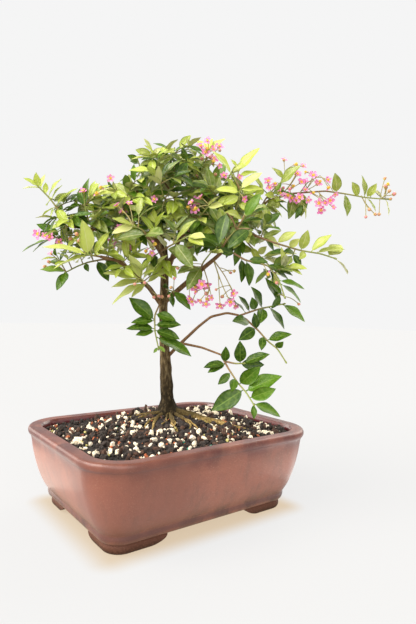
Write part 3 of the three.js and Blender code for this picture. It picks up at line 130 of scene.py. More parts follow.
# Leafy shoots: name, leaf length, pairs of leaves, young or mature, route of the twig. Some go on with the
# route of a side twig and leaves placed one by one: (twig, share of its length, tip, roll in degrees)
SHOOTS = [
    ("crown_low_left", 25, 3, "mature", [[-25, 27, 283], [-33, 14, 282], [-44, 6, 285], [-52, 2, 288]]),
    ("crown_left", 24, 0, "mature", [[-29, 23, 288], [-31, 26, 305], [-36, 30, 322], [-39, 32, 330]],
     [],
     [(0, 0.55, [-54, 25, 305], 60), (0, 0.35, [-23, 10, 309], 0), (0, 0.73, [-39, 14, 310], 0),
      (0, 0.86, [-45, 28, 326], 20), (0, 0.7, [-17, 25, 319], 0), (0, 0.91, [-46, 26, 328], 0)]),
    ("crown_top_left", 27, 0, "mature", [[-1, 32, 293], [-12, 22, 306], [-19, 16, 321], [-23, 14, 331]],
     [],
     [(0, 0.95, [-29, 11, 341], 55), (0, 0.93, [-37, 12, 332], 0), (0, 0.88, [-44, 12, 323], 65),
      (0, 0.82, [-33, 13, 317], 30), (0, 0.76, [-2, 7, 324], 0), (0, 0.93, [-14, 11, 334], 0)]),
    ("crown_top_back", 24, 2, "mature", [[-3, 31, 302], [-10, 42, 318], [-16, 54, 336]]),
    ("crown_stem", 25, 0, "mature", [[-4, 31, 303], [-1, 30, 319], [-3, 29, 330], [-2, 29, 339]],
     [],
     [(0, 0.91, [-22, 26, 343], 60), (0, 0.8, [-26, 26, 329], 35), (0, 0.95, [13, 26, 341], 45),
      (0, 0.82, [24, 26, 328], 55), (0, 0.59, [17, 27, 316], 15), (0, 0.5, [-25, 27, 314], 45)]),
    ("crown_front", 26, 2, "mature", [[2, 33, 282], [-5, 16, 281], [-9, 0, 285], [-11, -10, 294]]),
    ("crown_right", 26, 0, "young", [[4, 33, 274], [17, 38, 301], [27, 42, 327], [32, 44, 344]],
     [],
     [(0, 0.99, [14, 41, 359], 50), (0, 0.99, [48, 41, 357], 45), (0, 0.99, [35, 41, 359], 35),
      (0, 0.97, [59, 41, 336], 65), (0, 0.67, [39, 38, 314], 30), (0, 0.64, [4, 38, 334], 50)]),
    ("crown_right_front", 26, 3, "mature",
     [[4, 33, 264], [22, 18, 274], [37, 6, 286], [48, 0, 299], [54, -4, 308]]),
    ("rosette_middle", 26, 0, "young", [[52, 8, 260], [57, 2, 270], [61, -4, 280], [62, -8, 292]],
     [[62, -7, 291], [58, -10, 298], [54, -12, 303]],
     [(0, 0.99, [81, -11, 305], 40), (0, 0.96, [82, -11, 291], 45), (0, 0.91, [40, -10, 290], 40),
      (0, 0.82, [47, -10, 277], 0), (0, 0.62, [75, -8, 273], 0), (1, 0.99, [36, -15, 322], 55)]),
    ("right_tall", 25, 0, "young", [[61, 52, 269], [63, 46, 294], [61, 42, 311], [63, 40, 324]],
     [],
     [(0, 0.95, [82, 37, 344], 45), (0, 0.98, [55, 37, 332], 45), (0, 0.86, [81, 38, 321], 50),
      (0, 0.7, [46, 40, 314], 35), (0, 0.59, [81, 41, 296], 45)]),
    ("centre_dark", 32, 2, "mature", [[43, -6, 231], [50, -22, 242], [58, -34, 250], [65, -40, 260]]),
    ("centre_fill", 26, 2, "mature", [[12, 30, 256], [20, 8, 263], [28, -8, 268], [34, -16, 274]]),
    ("centre_back", 26, 2, "mature", [[30, 44, 268], [35, 66, 287], [41, 78, 310], [46, 84, 327]]),
    ("left_top", 18, 0, "young", [[-92, -12, 253], [-100, -16, 265], [-108, -18, 276], [-118, -20, 286]],
     [],
     [(0, 0.99, [-117, -29, 296], 0), (0, 0.95, [-113, -23, 297], 40), (0, 0.98, [-131, -23, 284], 65),
      (0, 0.99, [-129, -23, 292], 55), (0, 0.79, [-113, -21, 290], 0), (0, 0.73, [-98, -21, 293], 55),
      (0, 0.5, [-84, -20, 285], 60), (0, 0.45, [-93, -20, 254], 15)]),
    ("left_upright", 30, 2, "mature",
     [[-71, -4, 252], [-74, -12, 256], [-76, -16, 264], [-77, -18, 271]]),
    ("rosette_left", 32, 0, "young", [[-63, -14, 226], [-68, -22, 226], [-72, -28, 226]],
     [],
     [(0, 0.99, [-109, -31, 231], 70), (0, 0.74, [-100, -27, 213], 70), (0, 0.91, [-73, -30, 252], 45),
      (0, 0.69, [-47, -27, 252], 50), (0, 0.47, [-53, -24, 246], 45), (0, 0.99, [-86, -31, 241], 50)]),
    ("left_low", 24, 0, "mature",
     [[-49, -4, 224], [-63, -2, 225], [-77, -2, 222], [-86, -4, 218], [-96, -6, 212]],
     [],
     [(0, 0.99, [-96, -17, 200], 0), (0, 0.98, [-103, -9, 196], 10), (0, 0.98, [-118, -9, 213], 55),
      (0, 0.62, [-75, -9, 213], 0), (0, 0.4, [-58, -5, 205], 30), (0, 0.27, [-48, -6, 213], 0)]),
    ("left_far", 22, 0, "mature", [[-71, -4, 252], [-86, 2, 247], [-103, 8, 248], [-119, 12, 244]],
     [],
     [(0, 0.75, [-128, 6, 257], 45), (0, 0.81, [-128, 7, 249], 15), (0, 0.99, [-141, 9, 232], 70),
      (0, 0.93, [-131, 8, 232], 70), (0, 0.54, [-103, -5, 258], 0), (0, 0.63, [-112, 4, 240], 0)]),
    ("left_centre", 27, 3, "mature", [[-52, 8, 252], [-60, 18, 266], [-68, 24, 279], [-76, 26, 286]]),
    ("left_inner", 26, 2, "mature", [[-33, 22, 254], [-43, 36, 270], [-52, 44, 282], [-58, 48, 294]]),
    ("rosette_trunk", 28, 0, "young", [[-17, 30, 193], [-24, 10, 204], [-27, -8, 207]],
     [],
     [(0, 0.99, [-60, -11, 211], 60), (0, 0.95, [-38, -9, 229], 45), (0, 0.9, [-4, -7, 229], 60),
      (0, 0.61, [6, 5, 220], 60), (0, 0.78, [-54, -2, 199], 60), (0, 0.66, [-54, 3, 184], 65),
      (0, 0.57, [-37, 7, 191], 45)]),
    ("left_inner_low", 25, 2, "mature", [[-39, 8, 215], [-49, 26, 226], [-61, 38, 234], [-72, 44, 239]]),
    ("pendant", 27, 0, "mature",
     [[-13, 35, 192], [-12, 24, 186], [-16, 14, 174], [-15, 10, 159], [-11, 8, 143]],
     [],
     [(0, 0.55, [-40, 10, 189], 30), (0, 0.56, [-37, 10, 167], 40), (0, 0.69, [-41, 8, 161], 55),
      (0, 0.72, [-32, 7, 155], 35), (0, 0.44, [4, 12, 170], 30), (0, 0.63, [9, 9, 165], 45),
      (0, 0.71, [8, 7, 152], 40), (0, 0.82, [19, 6, 136], 60), (0, 0.96, [-5, 5, 140], 40),
      (0, 0.98, [-15, 7, 139], 0)]),
    ("trunk_side", 26, 0, "mature", [[-8, 35, 201], [-4, 16, 199], [2, 8, 197]],
     [],
     [(0, 0.93, [18, 7, 181], 45), (0, 0.03, [-30, 32, 190], 35), (0, 0.61, [1, 14, 183], 50),
      (0, 0.16, [-6, 18, 205], 0)]),
    ("front_centre", 26, 2, "mature", [[-18, -26, 242], [-23, -34, 248], [-30, -38, 250]]),
    ("front_right", 28, 3, "mature", [[-11, 4, 234], [-1, -14, 237], [10, -26, 241], [18, -32, 244]]),
    ("right_branch", 27, 2, "mature", [[26, 10, 217], [30, -10, 224], [37, -20, 232]]),
    ("right_low", 23, 0, "mature",
     [[50, -12, 236], [67, -22, 225], [87, -28, 220], [96, -34, 206], [100, -38, 193]],
     [],
     [(0, 0.53, [106, -30, 212], 50), (0, 0.63, [105, -32, 207], 65), (0, 0.8, [116, -37, 200], 60),
      (0, 0.84, [113, -38, 189], 65), (0, 0.31, [85, -25, 223], 25), (0, 0.24, [64, -23, 206], 40),
      (0, 0.31, [71, -25, 203], 35), (0, 0.14, [43, -21, 234], 0)]),
    ("right_far", 20, 0, "mature",
     [[78, -6, 249], [94, -14, 242], [116, -20, 235], [133, -24, 232], [145, -26, 228]],
     [],
     [(0, 0.09, [99, -12, 253], 45), (0, 0.28, [112, -17, 251], 35), (0, 0.44, [113, -28, 244], 0),
      (0, 0.59, [120, -34, 251], 0), (0, 0.71, [142, -25, 248], 50), (0, 0.77, [153, -26, 236], 60),
      (0, 0.92, [155, -28, 242], 25), (0, 0.99, [160, -29, 216], 70), (0, 0.64, [114, -29, 226], 0)]),
    ("right_mid", 24, 0, "mature", [[60, 4, 258], [74, 14, 243], [87, 24, 232], [95, 30, 226]],
     [],
     [(0, 0.75, [119, 20, 237], 65), (0, 0.76, [117, 20, 220], 60), (0, 0.59, [58, 16, 240], 40),
      (0, 0.66, [89, 10, 242], 0), (0, 0.77, [107, 21, 228], 45), (0, 0.45, [82, 12, 227], 25)]),
    ("right_top", 19, 0, "mature",
     [[118, 54, 304], [153, 48, 306], [172, 45, 303], [193, 43, 299], [217, 41, 297]],
     [],
     [(0, 0.47, [158, 30, 319], 0), (0, 0.55, [174, 42, 280], 35), (0, 0.69, [176, 33, 311], 0),
      (0, 0.75, [188, 40, 320], 45), (0, 0.77, [201, 35, 311], 0), (0, 0.93, [210, 39, 315], 50),
      (0, 0.77, [202, 40, 285], 55), (0, 0.96, [215, 38, 281], 65), (0, 0.13, [129, 49, 280], 15),
      (0, 0.04, [116, 38, 278], 0)]),
    ("right_top_low", 22, 0, "mature", [[83, 56, 280], [92, 50, 297], [101, 46, 308], [115, 42, 318]],
     [],
     [(0, 0.66, [82, 43, 327], 65), (0, 0.76, [123, 42, 324], 40), (0, 0.89, [97, 40, 326], 40),
      (0, 0.99, [138, 39, 327], 70), (0, 0.22, [104, 49, 282], 40), (0, 0.22, [103, 49, 267], 60)]),
    ("arc_outer", 22, 0, "mature",
     [[71, -4, 172], [81, -8, 163], [90, -12, 153], [98, -16, 147], [105, -20, 136]],
     [],
     [(0, 0.06, [57, -8, 171], 40), (0, 0.22, [63, -20, 155], 0), (0, 0.25, [77, -14, 178], 0),
      (0, 0.41, [83, -20, 146], 0), (0, 0.51, [110, -15, 160], 45), (0, 0.71, [101, -27, 154], 0)]),
    ("arc_side", 24, 0, "mature", [[65, -1, 176], [81, -8, 182], [93, -15, 185], [102, -20, 187]],
     [],
     [(0, 0.14, [52, -6, 193], 60), (0, 0.23, [63, -8, 193], 55), (0, 0.35, [74, -18, 192], 0),
      (0, 0.52, [73, -13, 201], 50), (0, 0.54, [81, -26, 170], 0), (0, 0.67, [103, -16, 165], 55),
      (0, 0.93, [85, -21, 209], 50), (0, 0.97, [120, -22, 172], 45)]),
    ("lowest", 30, 0, "mature",
     [[48, 0, 139], [55, -8, 127], [63, -20, 116], [70, -28, 109], [76, -34, 100]],
     [[53, -4, 133], [61, -10, 132], [68, -16, 133]],
     [(0, 0.15, [52, -13, 147], 0), (0, 0.17, [33, -8, 128], 50), (0, 0.18, [37, -8, 123], 45),
      (1, 0.8, [64, -24, 153], 0), (1, 0.97, [90, -19, 141], 50), (1, 0.74, [86, -16, 132], 0),
      (0, 0.61, [81, -34, 132], 0), (0, 0.35, [46, -15, 114], 0), (0, 0.47, [58, -29, 110], 0),
      (0, 0.73, [41, -29, 93], 15), (0, 0.77, [100, -30, 123], 45), (0, 0.89, [93, -37, 115], 0),
      (0, 0.99, [76, -37, 89], 20), (0, 0.99, [98, -37, 91], 55)]),
    ("back_right", 26, 2, "mature", [[49, 102, 269], [61, 112, 284], [70, 118, 301]]),
    ("back_left", 26, 2, "mature", [[-63, 100, 279], [-76, 108, 289], [-88, 112, 294]]),
    ("back_top", 26, 2, "mature", [[3, 33, 280], [-1, 60, 300], [-1, 76, 321], [3, 84, 339]]),
]
TWIG_RADII = (1.4, 1.0)
LEAF_WIDTH = 0.48
LEAF_THICKNESS = 0.7
LEAF_SHOULDERS = ((0.32, 0.96), (0.7, 0.76))
LEAF_ROOT = 0.5
LEAF_ROOT_LIMIT = 1.6
LEAF_ARCH = 0.16
LEAF_FIRST, LEAF_LAST = 0.25, 0.96
LEAF_SPREAD = (68, 38)
LEAF_FLATTEN = 0.55
LEAF_DROOP = 0.22
LEAF_CLEARANCE = 0.45
LEAF_TRIES = 8
LEAF_RETRY_TURN = 25
LEAF_TAPER = (1.05, 0.7)
LEAF_VARIATION = (0.85, 1.12)
LEAF_TIP_SPREAD = 0.5
LEAF_ALONG = 0.35
LEAF_JITTER = {"turn": 30, "spread": 20, "face": 0.8}
LIGHT_SIDE = (-0.2, -0.8, 0.6)
PLACED_TRIES = ((0, 0), (-4, 0), (4, 0), (-8, 0), (8, 0), (-8, 25), (8, 25), (-14, 0), (14, 0),
                (-14, 25), (14, -25), (-20, 0), (20, 0))

# Bunches of blossom: name, where the stalk starts, middle of the flowers, spread, open flowers, buds
BUNCHES = [
    ("crown", [28, 42, 331], [36, 35, 340], 13, 4, 2),
    ("crown_side", [18, 38, 304], [44, 33, 318], 8, 0, 2),
    ("right_inner", [96, 56, 297], [103, 46, 307], 12, 3, 1),
    ("right_upper", [108, 56, 301], [121, 46, 317], 13, 3, 1),
    ("right_lower", [116, 54, 303], [120, 44, 299], 12, 3, 1),
    ("right_outer", [132, 52, 305], [138, 44, 314], 12, 3, 1),
    ("right_end", [146, 49, 306], [150, 42, 296], 12, 3, 1),
    ("tip", [207, 41, 297], [215, 38, 303], 9, 0, 4),
    ("tip_low", [189, 44, 301], [197, 40, 284], 9, 0, 2),
    ("hanging", [27, 9, 217], [27, 0, 197], 13, 4, 1),
    ("hanging_right", [39, -2, 227], [52, -8, 190], 9, 2, 1),
    ("left_upper", [-47, 39, 275], [-50, 12, 277], 9, 2, 1),
    ("left_lower", [-52, 8, 252], [-48, 2, 243], 8, 2, 1),
    ("left_far", [-110, 9, 246], [-114, -3, 243], 9, 2, 0),
    ("left_rosette", [-68, -22, 226], [-76, -33, 238], 8, 0, 3),
    ("middle", [2, 33, 280], [22, 2, 276], 9, 2, 0),
    ("trunk", [-19, 20, 197], [-12, 12, 192], 8, 0, 3),
]
STALK_RADIUS = 0.5
STALK_NECK = 1.1
STALK_FREE = 0.25
COMMON_STALK = {"least": 7, "share": 0.5, "radius": 0.9, "first": 0.5, "last": 0.97}
STALK_ROOT = 0.35
BLOSSOM_RADIUS = 5.8
BUD_RADIUS = 1.9
PETALS = 5
PETAL_OUTLINE = ((-36, 0.25), (-18, 1), (18, 1))
PETAL_THICKNESS = 0.8
PETAL_CUP = 0.22
BLOSSOM_TRIES = 24
BLOSSOM_SIDE = (-0.18, -0.9, 0.135)
BLOSSOM_SPREAD = (1, 0.8, 0.7)
BLOSSOM_NEAREST = 0.4
BLOSSOM_JITTER = 40
BLOSSOM_RETRY_TURN = 30
GOLDEN_TURN = 0.618034
BUNCH_TURN = 0.37
LEAF_SEED = {"shoot": 1000, "pair": 10}
BLOSSOM_SEED = {"start": 90000, "bunch": 100}


# The CAD part's whole box: what the scene adds stays inside it
BOX_MARGIN = 1.0
EDGE_MARGIN = 0.05
box_low = [(low - centre) / MM for low, centre in zip(cad_box[0], POT_CENTRE)]
box_high = [(high - centre) / MM for high, centre in zip(cad_box[1], POT_CENTRE)]


def in_the_box(bars, margin=BOX_MARGIN):
    low, high = box_of(bars)
    return all(box_low[i] + margin < low[i] and high[i] < box_high[i] - margin for i in range(3))


# More flowers, read from the photograph: middles of open and of spent flowers and of buds
FLOWERS = {
    "right": {
        "open": [[101, 38, 301], [109, 43, 335], [101, 40, 319], [129, 45, 330], [108, 42, 310],
            [95, 39, 306], [114, 44, 304], [127, 41, 318], [139, 46, 311], [131, 42, 305],
            [142, 39, 295], [149, 44, 302], [151, 41, 292], [159, 38, 287], [154, 43, 316],
            [161, 40, 301], [123, 45, 295], [134, 42, 295]],
        "spent": [[100, 38, 310], [119, 43, 309], [121, 40, 330], [132, 45, 324], [146, 42, 314],
            [154, 39, 307], [140, 44, 303], [128, 41, 298], [109, 46, 294], [144, 42, 307]],
    },
    "crown": {
        "open": [[31, 20, 345], [37, 27, 339], [27, 23, 335], [43, 30, 324], [48, 26, 313],
            [63, 21, 310]],
        "spent": [[31, 20, 337], [42, 27, 320], [37, 23, 326]],
        "bud": [[43, 20, 336], [21, 27, 313], [-7, 23, 316]],
    },
    "middle": {
        "open": [[18, -16, 276], [26, -10, 282], [65, -14, 281], [-16, -7, 281]],
        "spent": [[22, -16, 271], [15, -10, 273]],
        "bud": [[7, -16, 217], [12, -10, 215], [4, -14, 208], [-1, -7, 192]],
    },
    "left": {
        "open": [[-46, -30, 269], [-43, -19, 266], [-38, -26, 256], [-47, -15, 252], [-41, -22, 242],
            [-36, -28, 271], [-55, -17, 296], [-77, -24, 282], [-19, -13, 239], [-16, -20, 230]],
        "spent": [[-64, -30, 279], [-63, -19, 287], [-13, -26, 237], [-22, -15, 232], [-40, -22, 249]],
        "bud": [[-29, -30, 201], [-22, -19, 203], [2, -26, 199]],
    },
    "far_left": {
        "open": [[-114, -12, 244], [-103, -5, 240], [-109, -9, 228]],
        "bud": [[-91, -12, 242], [-81, -5, 244], [-77, -9, 232], [-117, -2, 217], [-112, -6, 221]],
    },
    "hanging": {
        "open": [[17, -12, 199], [18, -5, 191], [28, -9, 189], [24, -2, 197], [31, -6, 197],
            [33, -11, 186], [54, -4, 188], [58, -8, 196], [60, -1, 185], [38, -5, 192]],
        "spent": [[21, -12, 193], [34, -5, 190], [56, -9, 193], [30, -2, 202]],
        "bud": [[58, -12, 216], [55, -5, 215], [42, -9, 199], [48, -2, 193]],
    },
    "low_right": {
        "open": [[106, -34, 202]],
        "spent": [[86, -34, 212]],
        "bud": [[101, -34, 206], [114, -29, 187], [94, -32, 205]],
    },
    "tip": {
        "spent": [[213, 36, 311], [211, 41, 300]],
        "bud": [[210, 36, 317], [218, 41, 303], [217, 38, 297], [215, 43, 292], [208, 40, 297],
            [192, 37, 278], [207, 42, 282], [201, 39, 309]],
    },
}
FLOWER_TWIGS = {
    "hanging": [
        [[26, 10, 217], [20, -2, 208], [16, -8, 200]],
        [[30, 7, 220], [34, -4, 208], [36, -8, 198]],
        [[39, -2, 227], [50, -5, 212], [56, -7, 200]],
    ],
    "right": [
        [[104, 56, 300], [106, 48, 312], [112, 44, 326]],
        [[128, 53, 305], [134, 46, 314], [146, 42, 320]],
    ],
}
FLOWER_SIZES = {"open": (3.4, 4.6), "spent": (2.0, 2.6), "bud": (1.3, 1.9)}
PEDICEL = {"bow": 0.08, "length": 12, "drop": 4, "level": 0.3, "radius": 0.34}
EXTRA_FACE = {"side": (-0.1, -0.9, 0.25), "loose": 1.2}
HEAD_SHARE = 0.7
SIGHT_LENGTH = 26
SIGHT_SHARE = {"flower": 0.8, "leaf": 0.2}

# Large dark leaves in front of the crown: twigs, then leaves as in SHOOTS
FRONT_TWIGS = [
    [[58, -34, 250], [54, -38, 258], [49, -40, 263]],
    [[58, -34, 250], [64, -40, 250], [69, -42, 249]],
    [[58, -34, 250], [62, -39, 256], [64, -41, 261]],
]
FRONT_LEAVES = [
    (0, 0.99, [43, -46, 236], 20), (1, 0.99, [50, -48, 232], 25), (2, 0.99, [75, -46, 242], 20),
]

# Finer sprigs that fill the crown: name, middle and half sizes of a cloud as [right, away, up], number of
# sprigs, leaf length, share of young leaves. Each sprig runs from the nearest wood or twig into its cloud.
CLOUDS = [
    ("crown_top", [-4, 20, 322], (36, 20, 20), 22, 18, 0.3),
    ("crown_heart", [-4, 12, 294], (46, 26, 20), 20, 20, 0.3),
    ("crown_core", [8, 8, 264], (44, 24, 18), 18, 21, 0.25),
    ("crown_right", [46, 20, 292], (34, 24, 28), 20, 20, 0.5),
    ("right_centre", [58, -4, 254], (34, 22, 18), 18, 22, 0.2),
    ("right_twigs", [104, 40, 296], (30, 14, 20), 10, 16, 0.4),
    ("left_inner", [-40, 4, 270], (28, 24, 20), 20, 20, 0.25),
    ("left_wing", [-78, -8, 266], (36, 18, 20), 22, 19, 0.45),
    ("left_wing_low", [-82, -10, 238], (36, 16, 12), 12, 17, 0.5),
    ("trunk_rosettes", [-26, 0, 222], (24, 16, 16), 8, 18, 0.7),
    ("hanging_right", [96, -22, 212], (20, 14, 20), 7, 16, 0.3),
    ("back_left", [-42, 68, 276], (54, 34, 26), 34, 23, 0.2),
    ("back_right", [34, 72, 276], (52, 34, 30), 34, 23, 0.2),
    ("back_top", [2, 56, 318], (36, 26, 24), 20, 21, 0.3),
]
SPRIG_GAP = 0.12
SPRIG_REACH = (8, 42)
SPRIG_TRIES = 14
SPRIG_FREE = 0.35
SPRIG_RADIUS = 0.45
SPRIG_BOW = {"loose": 0.12, "up": 0.1}
SPRIG_LEAVES = (4, 7)
SPRIG_SHARES = (0.4, 0.98)
SPRIG_LENGTHS = (0.75, 1.15)
SPRIG_TURNS = {"leaf": 2.4, "retry": 0.7}
SPRIG_SPREAD = (75, 30)
SPRIG_SPREAD_JITTER = 30
SPRIG_DROOP = 0.25
SPRIG_FACE = {"up": 0.7, "stem": 0.3, "loose": 1.1}
SPRIG_LEAF_TRIES = 7
SPRIG_SEED = {"start": 40000, "cloud": 1000}
OUTWARD = {"away": 36, "below": 30, "side": (-0.2, -1, 0), "share": 0.7, "behind": 20}
HOST_STEP = 5
HOST_LEVEL = 190
HOST_ABOVE = 0.6


# Small vector sums on (x, y, z) tuples
def add(a, b):
    return (a[0] + b[0], a[1] + b[1], a[2] + b[2])


def sub(a, b):
    return (a[0] - b[0], a[1] - b[1], a[2] - b[2])


def times(a, k):
    return (a[0] * k, a[1] * k, a[2] * k)


def dot(a, b):
    return a[0] * b[0] + a[1] * b[1] + a[2] * b[2]


def cross(a, b):
    return (a[1] * b[2] - a[2] * b[1], a[2] * b[0] - a[0] * b[2], a[0] * b[1] - a[1] * b[0])


def size(a):
    return math.sqrt(dot(a, a))


def unit(a):
    return times(a, 1 / size(a))


def mix(a, b, t):
    return a + (b - a) * t


def mix_point(a, b, t):
    return add(times(a, 1 - t), times(b, t))


def scaled(pair, k):
    return pair[0] * k, pair[1] * k


def within(value, low=0, high=1):
    return min(high, max(low, value))


def swing(a, b, angle):
    """Direction a turned by an angle towards b, which is square to it."""
    return add(times(a, math.cos(angle)), times(b, math.sin(angle)))


def squared(face, direction):
    """A face's direction made square to the leaf's own direction."""
    return unit(sub(face, times(direction, dot(face, direction))))


def from_front(p):
    c, s = math.cos(TREE_TURN), math.sin(TREE_TURN)
    return (p[0] * c + p[1] * s, -p[0] * s + p[1] * c, p[2])


def route_from_front(points):
    return [from_front(p) for p in points]


WORD = 0xFFFFFFFF


def random_from(seed):
    """Repeatable random numbers from 0 to 1, the same as the CAD part draws."""
    state = seed & WORD

    def draw():
        nonlocal state
        state = (state + 0x6D2B79F5) & WORD
        t = state
        t = ((t ^ (t >> 15)) * (t | 1)) & WORD
        t ^= (t + (((t ^ (t >> 7)) * (t | 61)) & WORD)) & WORD
        return ((t ^ (t >> 14)) & WORD) / 4294967296

    return draw


def along(curve, share):
    """Point and direction at a share of a curve's length."""
    lengths = [0]
    for i in range(1, len(curve)):
        lengths.append(lengths[i - 1] + size(sub(curve[i], curve[i - 1])))
    target = share * lengths[-1]
    i = 1
    while i < len(curve) - 1 and lengths[i] < target:
        i += 1
    t = (target - lengths[i - 1]) / (lengths[i] - lengths[i - 1])
    return mix_point(curve[i - 1], curve[i], t), unit(sub(curve[i], curve[i - 1]))


# What stands in the way of a new leaf or flower: bars (a, b, radius, at_base) and flat triangles
CELL = 20.0
TINY = 1e-9
UPRIGHT_STEM, UPRIGHT_FACE = 0.92, 0.9
in_the_way = []
cells = {}


def box_of(bars):
    low = [min(min(bar[0][i], bar[1][i]) - bar[2] for bar in bars) for i in range(3)]
    high = [max(max(bar[0][i], bar[1][i]) + bar[2] for bar in bars) for i in range(3)]
    return low, high


def cells_of(around):
    low, high = around
    spans = [range(int(low[i] // CELL), int(high[i] // CELL) + 1) for i in range(3)]
    return [(x, y, z) for x in spans[0] for y in spans[1] for z in spans[2]]


def bar_distance(p, q):
    d1 = sub(p[1], p[0])
    d2 = sub(q[1], q[0])
    r = sub(p[0], q[0])
    a, e, f = dot(d1, d1), dot(d2, d2), dot(d2, r)
    c, b = dot(d1, r), dot(d1, d2)
    flat = a * e - b * b
    s = within((b * f - c * e) / flat) if flat > TINY else 0
    t = (b * s + f) / e
    if t < 0:
        t = 0
        s = within(-c / a)
    elif t > 1:
        t = 1
        s = within((b - c) / a)
    return size(sub(add(p[0], times(d1, s)), add(q[0], times(d2, t))))


def passes_through(bar, triangle):
    p, q, r = triangle
    direction = sub(bar[1], bar[0])
    e1, e2 = sub(q, p), sub(r, p)
    h = cross(direction, e2)
    scale = dot(e1, h)
    if abs(scale) < TINY:
        return False
    s = sub(bar[0], p)
    u = dot(s, h) / scale
    k = cross(s, e1)
    v = dot(direction, k) / scale
    t = dot(e2, k) / scale
    return u >= 0 and v >= 0 and u + v <= 1 and 0 <= t <= 1


def is_clear(bars, triangles, own, gap=LEAF_CLEARANCE):
    """Whether bars and triangles keep a gap to all that stands near; own names the twig that bears them."""
    low, high = box_of(bars)
    near = set()
    for cell in cells_of(([v - gap for v in low], [v + gap for v in high])):
        near.update(cells.get(cell, ()))
    for number in near:
        their_bars, their_triangles, their_own, kind, (their_low, their_high) = in_the_way[number]
        same_twig = their_own == own
        if same_twig and kind == "twig":
            continue
        if any(low[i] > their_high[i] + gap or their_low[i] > high[i] + gap for i in range(3)):
            continue
        mine = [bar for bar in bars if not bar[3]] if same_twig else bars
        theirs = [bar for bar in their_bars if not bar[3]] if same_twig else their_bars
        for p in mine:
            for q in theirs:
                if bar_distance(p, q) < p[2] + q[2] + gap:
                    return False
            for triangle in their_triangles:
                if passes_through(p, triangle):
                    return False
        for q in theirs:
            for triangle in triangles:
                if passes_through(q, triangle):
                    return False
    return True


def keep(bars, triangles, own, kind):
    around = box_of(bars)
    for cell in cells_of(around):
        cells.setdefault(cell, []).append(len(in_the_way))
    in_the_way.append((bars, triangles, own, kind, around))


def bars_along(curve, radii):
    bars = []
    for i in range(1, len(curve)):
        share = (i - 1) / (len(curve) - 1)
        bars.append((curve[i - 1], curve[i], mix(radii[0], radii[-1], share), False))
    return bars


LEAF_TRIANGLES = ((0, 1, 5), (1, 2, 4), (1, 4, 5), (2, 3, 4))
LEAF_EDGES = ((0, 1), (1, 2), (2, 3), (3, 4), (4, 5), (5, 0), (1, 5), (2, 4))


def leaf_obstacle(root, direction, face, length):
    across = cross(face, direction)

    def at(share, side):
        out = times(direction, length * share)
        down = times(face, -LEAF_ARCH * length * share * share)
        sideways = times(across, side * LEAF_WIDTH * length / 2)
        return add(add(add(root, out), down), sideways)

    (share1, side1), (share2, side2) = LEAF_SHOULDERS
    outline = [at(0, 0), at(share1, side1), at(share2, side2),
               at(1, 0), at(share2, -side2), at(share1, -side1)]
    bars = [(outline[i], outline[j], LEAF_THICKNESS / 2, i * j == 0) for i, j in LEAF_EDGES]
    return bars, [[outline[i] for i in corners] for corners in LEAF_TRIANGLES]


def sides_of(stem):
    """Directions sideways and upwards from a stem."""
    upright = (0, 0, 1) if abs(stem[2]) < UPRIGHT_STEM else (0, 1, 0)
    sideways = unit(cross(stem, upright))
    return sideways, cross(sideways, stem)


def loosely(draw):
    return draw() - 0.5, draw() - 0.5, draw() - 0.5


def leaf_pose(curve, share, turn, draw, tip):
    point, stem = along(curve, share)
    sideways, upward = sides_of(stem)
    angle = math.radians(turn + LEAF_JITTER["turn"] * (draw() - 0.5))
    spread = mix(*LEAF_SPREAD, share) * (LEAF_TIP_SPREAD if tip else 1)
    spread = math.radians(spread + LEAF_JITTER["spread"] * (draw() - 0.5))
    out = add(times(sideways, math.cos(angle)), times(upward, LEAF_FLATTEN * math.sin(angle)))
    direction = unit(add(swing(stem, unit(out), spread), (0, 0, -LEAF_DROOP * (0.5 + draw()))))
    loose = times(loosely(draw), LEAF_JITTER["face"])
    face = add(add(from_front(LIGHT_SIDE), times(stem, LEAF_ALONG)), loose)
    return point, direction, squared(face, direction), stem


def leaf_root(point, direction, stem, share):
    depth = LEAF_ROOT * mix(*TWIG_RADII, share) / size(cross(direction, stem))
    return add(point, times(direction, min(LEAF_ROOT_LIMIT, depth)))


def placed_pose(curve, share, tip, roll):
    """A leaf that ends at a given tip: its face looks to the front, and rolls up towards the light."""
    point, stem = along(curve, share)
    chord = sub(tip, point)
    length = size(chord)
    axis = times(chord, 1 / length)
    flat = squared(from_front((0, -1, 0)), axis)
    side = cross(axis, flat)
    upward = times(side, -1) if side[2] < 0 else side
    rolled = swing(flat, upward, math.radians(roll))
    direction = unit(add(axis, times(rolled, LEAF_ARCH)))
    return point, direction, squared(rolled, direction), stem, length


def place_leaves(name, curves, placed):
    """The tip comes nearer or goes farther away, and the leaf rolls, until it is clear."""
    leaves = []
    for stem_number, share, (right, away, up), roll in placed:
        for shift, turn in PLACED_TRIES:
            tip = from_front((right, away + shift, up))
            pose = placed_pose(curves[stem_number], share, tip, roll + turn)
            point, direction, face, stem, length = pose
            root = leaf_root(point, direction, stem, share)
            bars, triangles = leaf_obstacle(root, direction, face, length)
            if is_clear(bars, triangles, name):
                keep(bars, triangles, name, "leaf")
                leaves.append((root, direction, face, length))
                break
    return leaves


def grow_pair(name, curve, leaf, pair, share, tip, seed):
    """Up to two leaves at one place of a twig, each clear of everything already there."""
    leaves = []
    for side in (0, 1):
        draw = random_from(seed + side)
        length = leaf * mix(*LEAF_TAPER, share ** 2) * mix(*LEAF_VARIATION, draw())
        for attempt in range(LEAF_TRIES):
            turn = 90 * pair + 180 * side + LEAF_RETRY_TURN * attempt
            point, direction, face, stem = leaf_pose(curve, share, turn, draw, tip)
            root = leaf_root(point, direction, stem, share)
            bars, triangles = leaf_obstacle(root, direction, face, length)
            if is_clear(bars, triangles, name):
                keep(bars, triangles, name, "leaf")
                leaves.append((root, direction, face, length))
                break
    return leaves


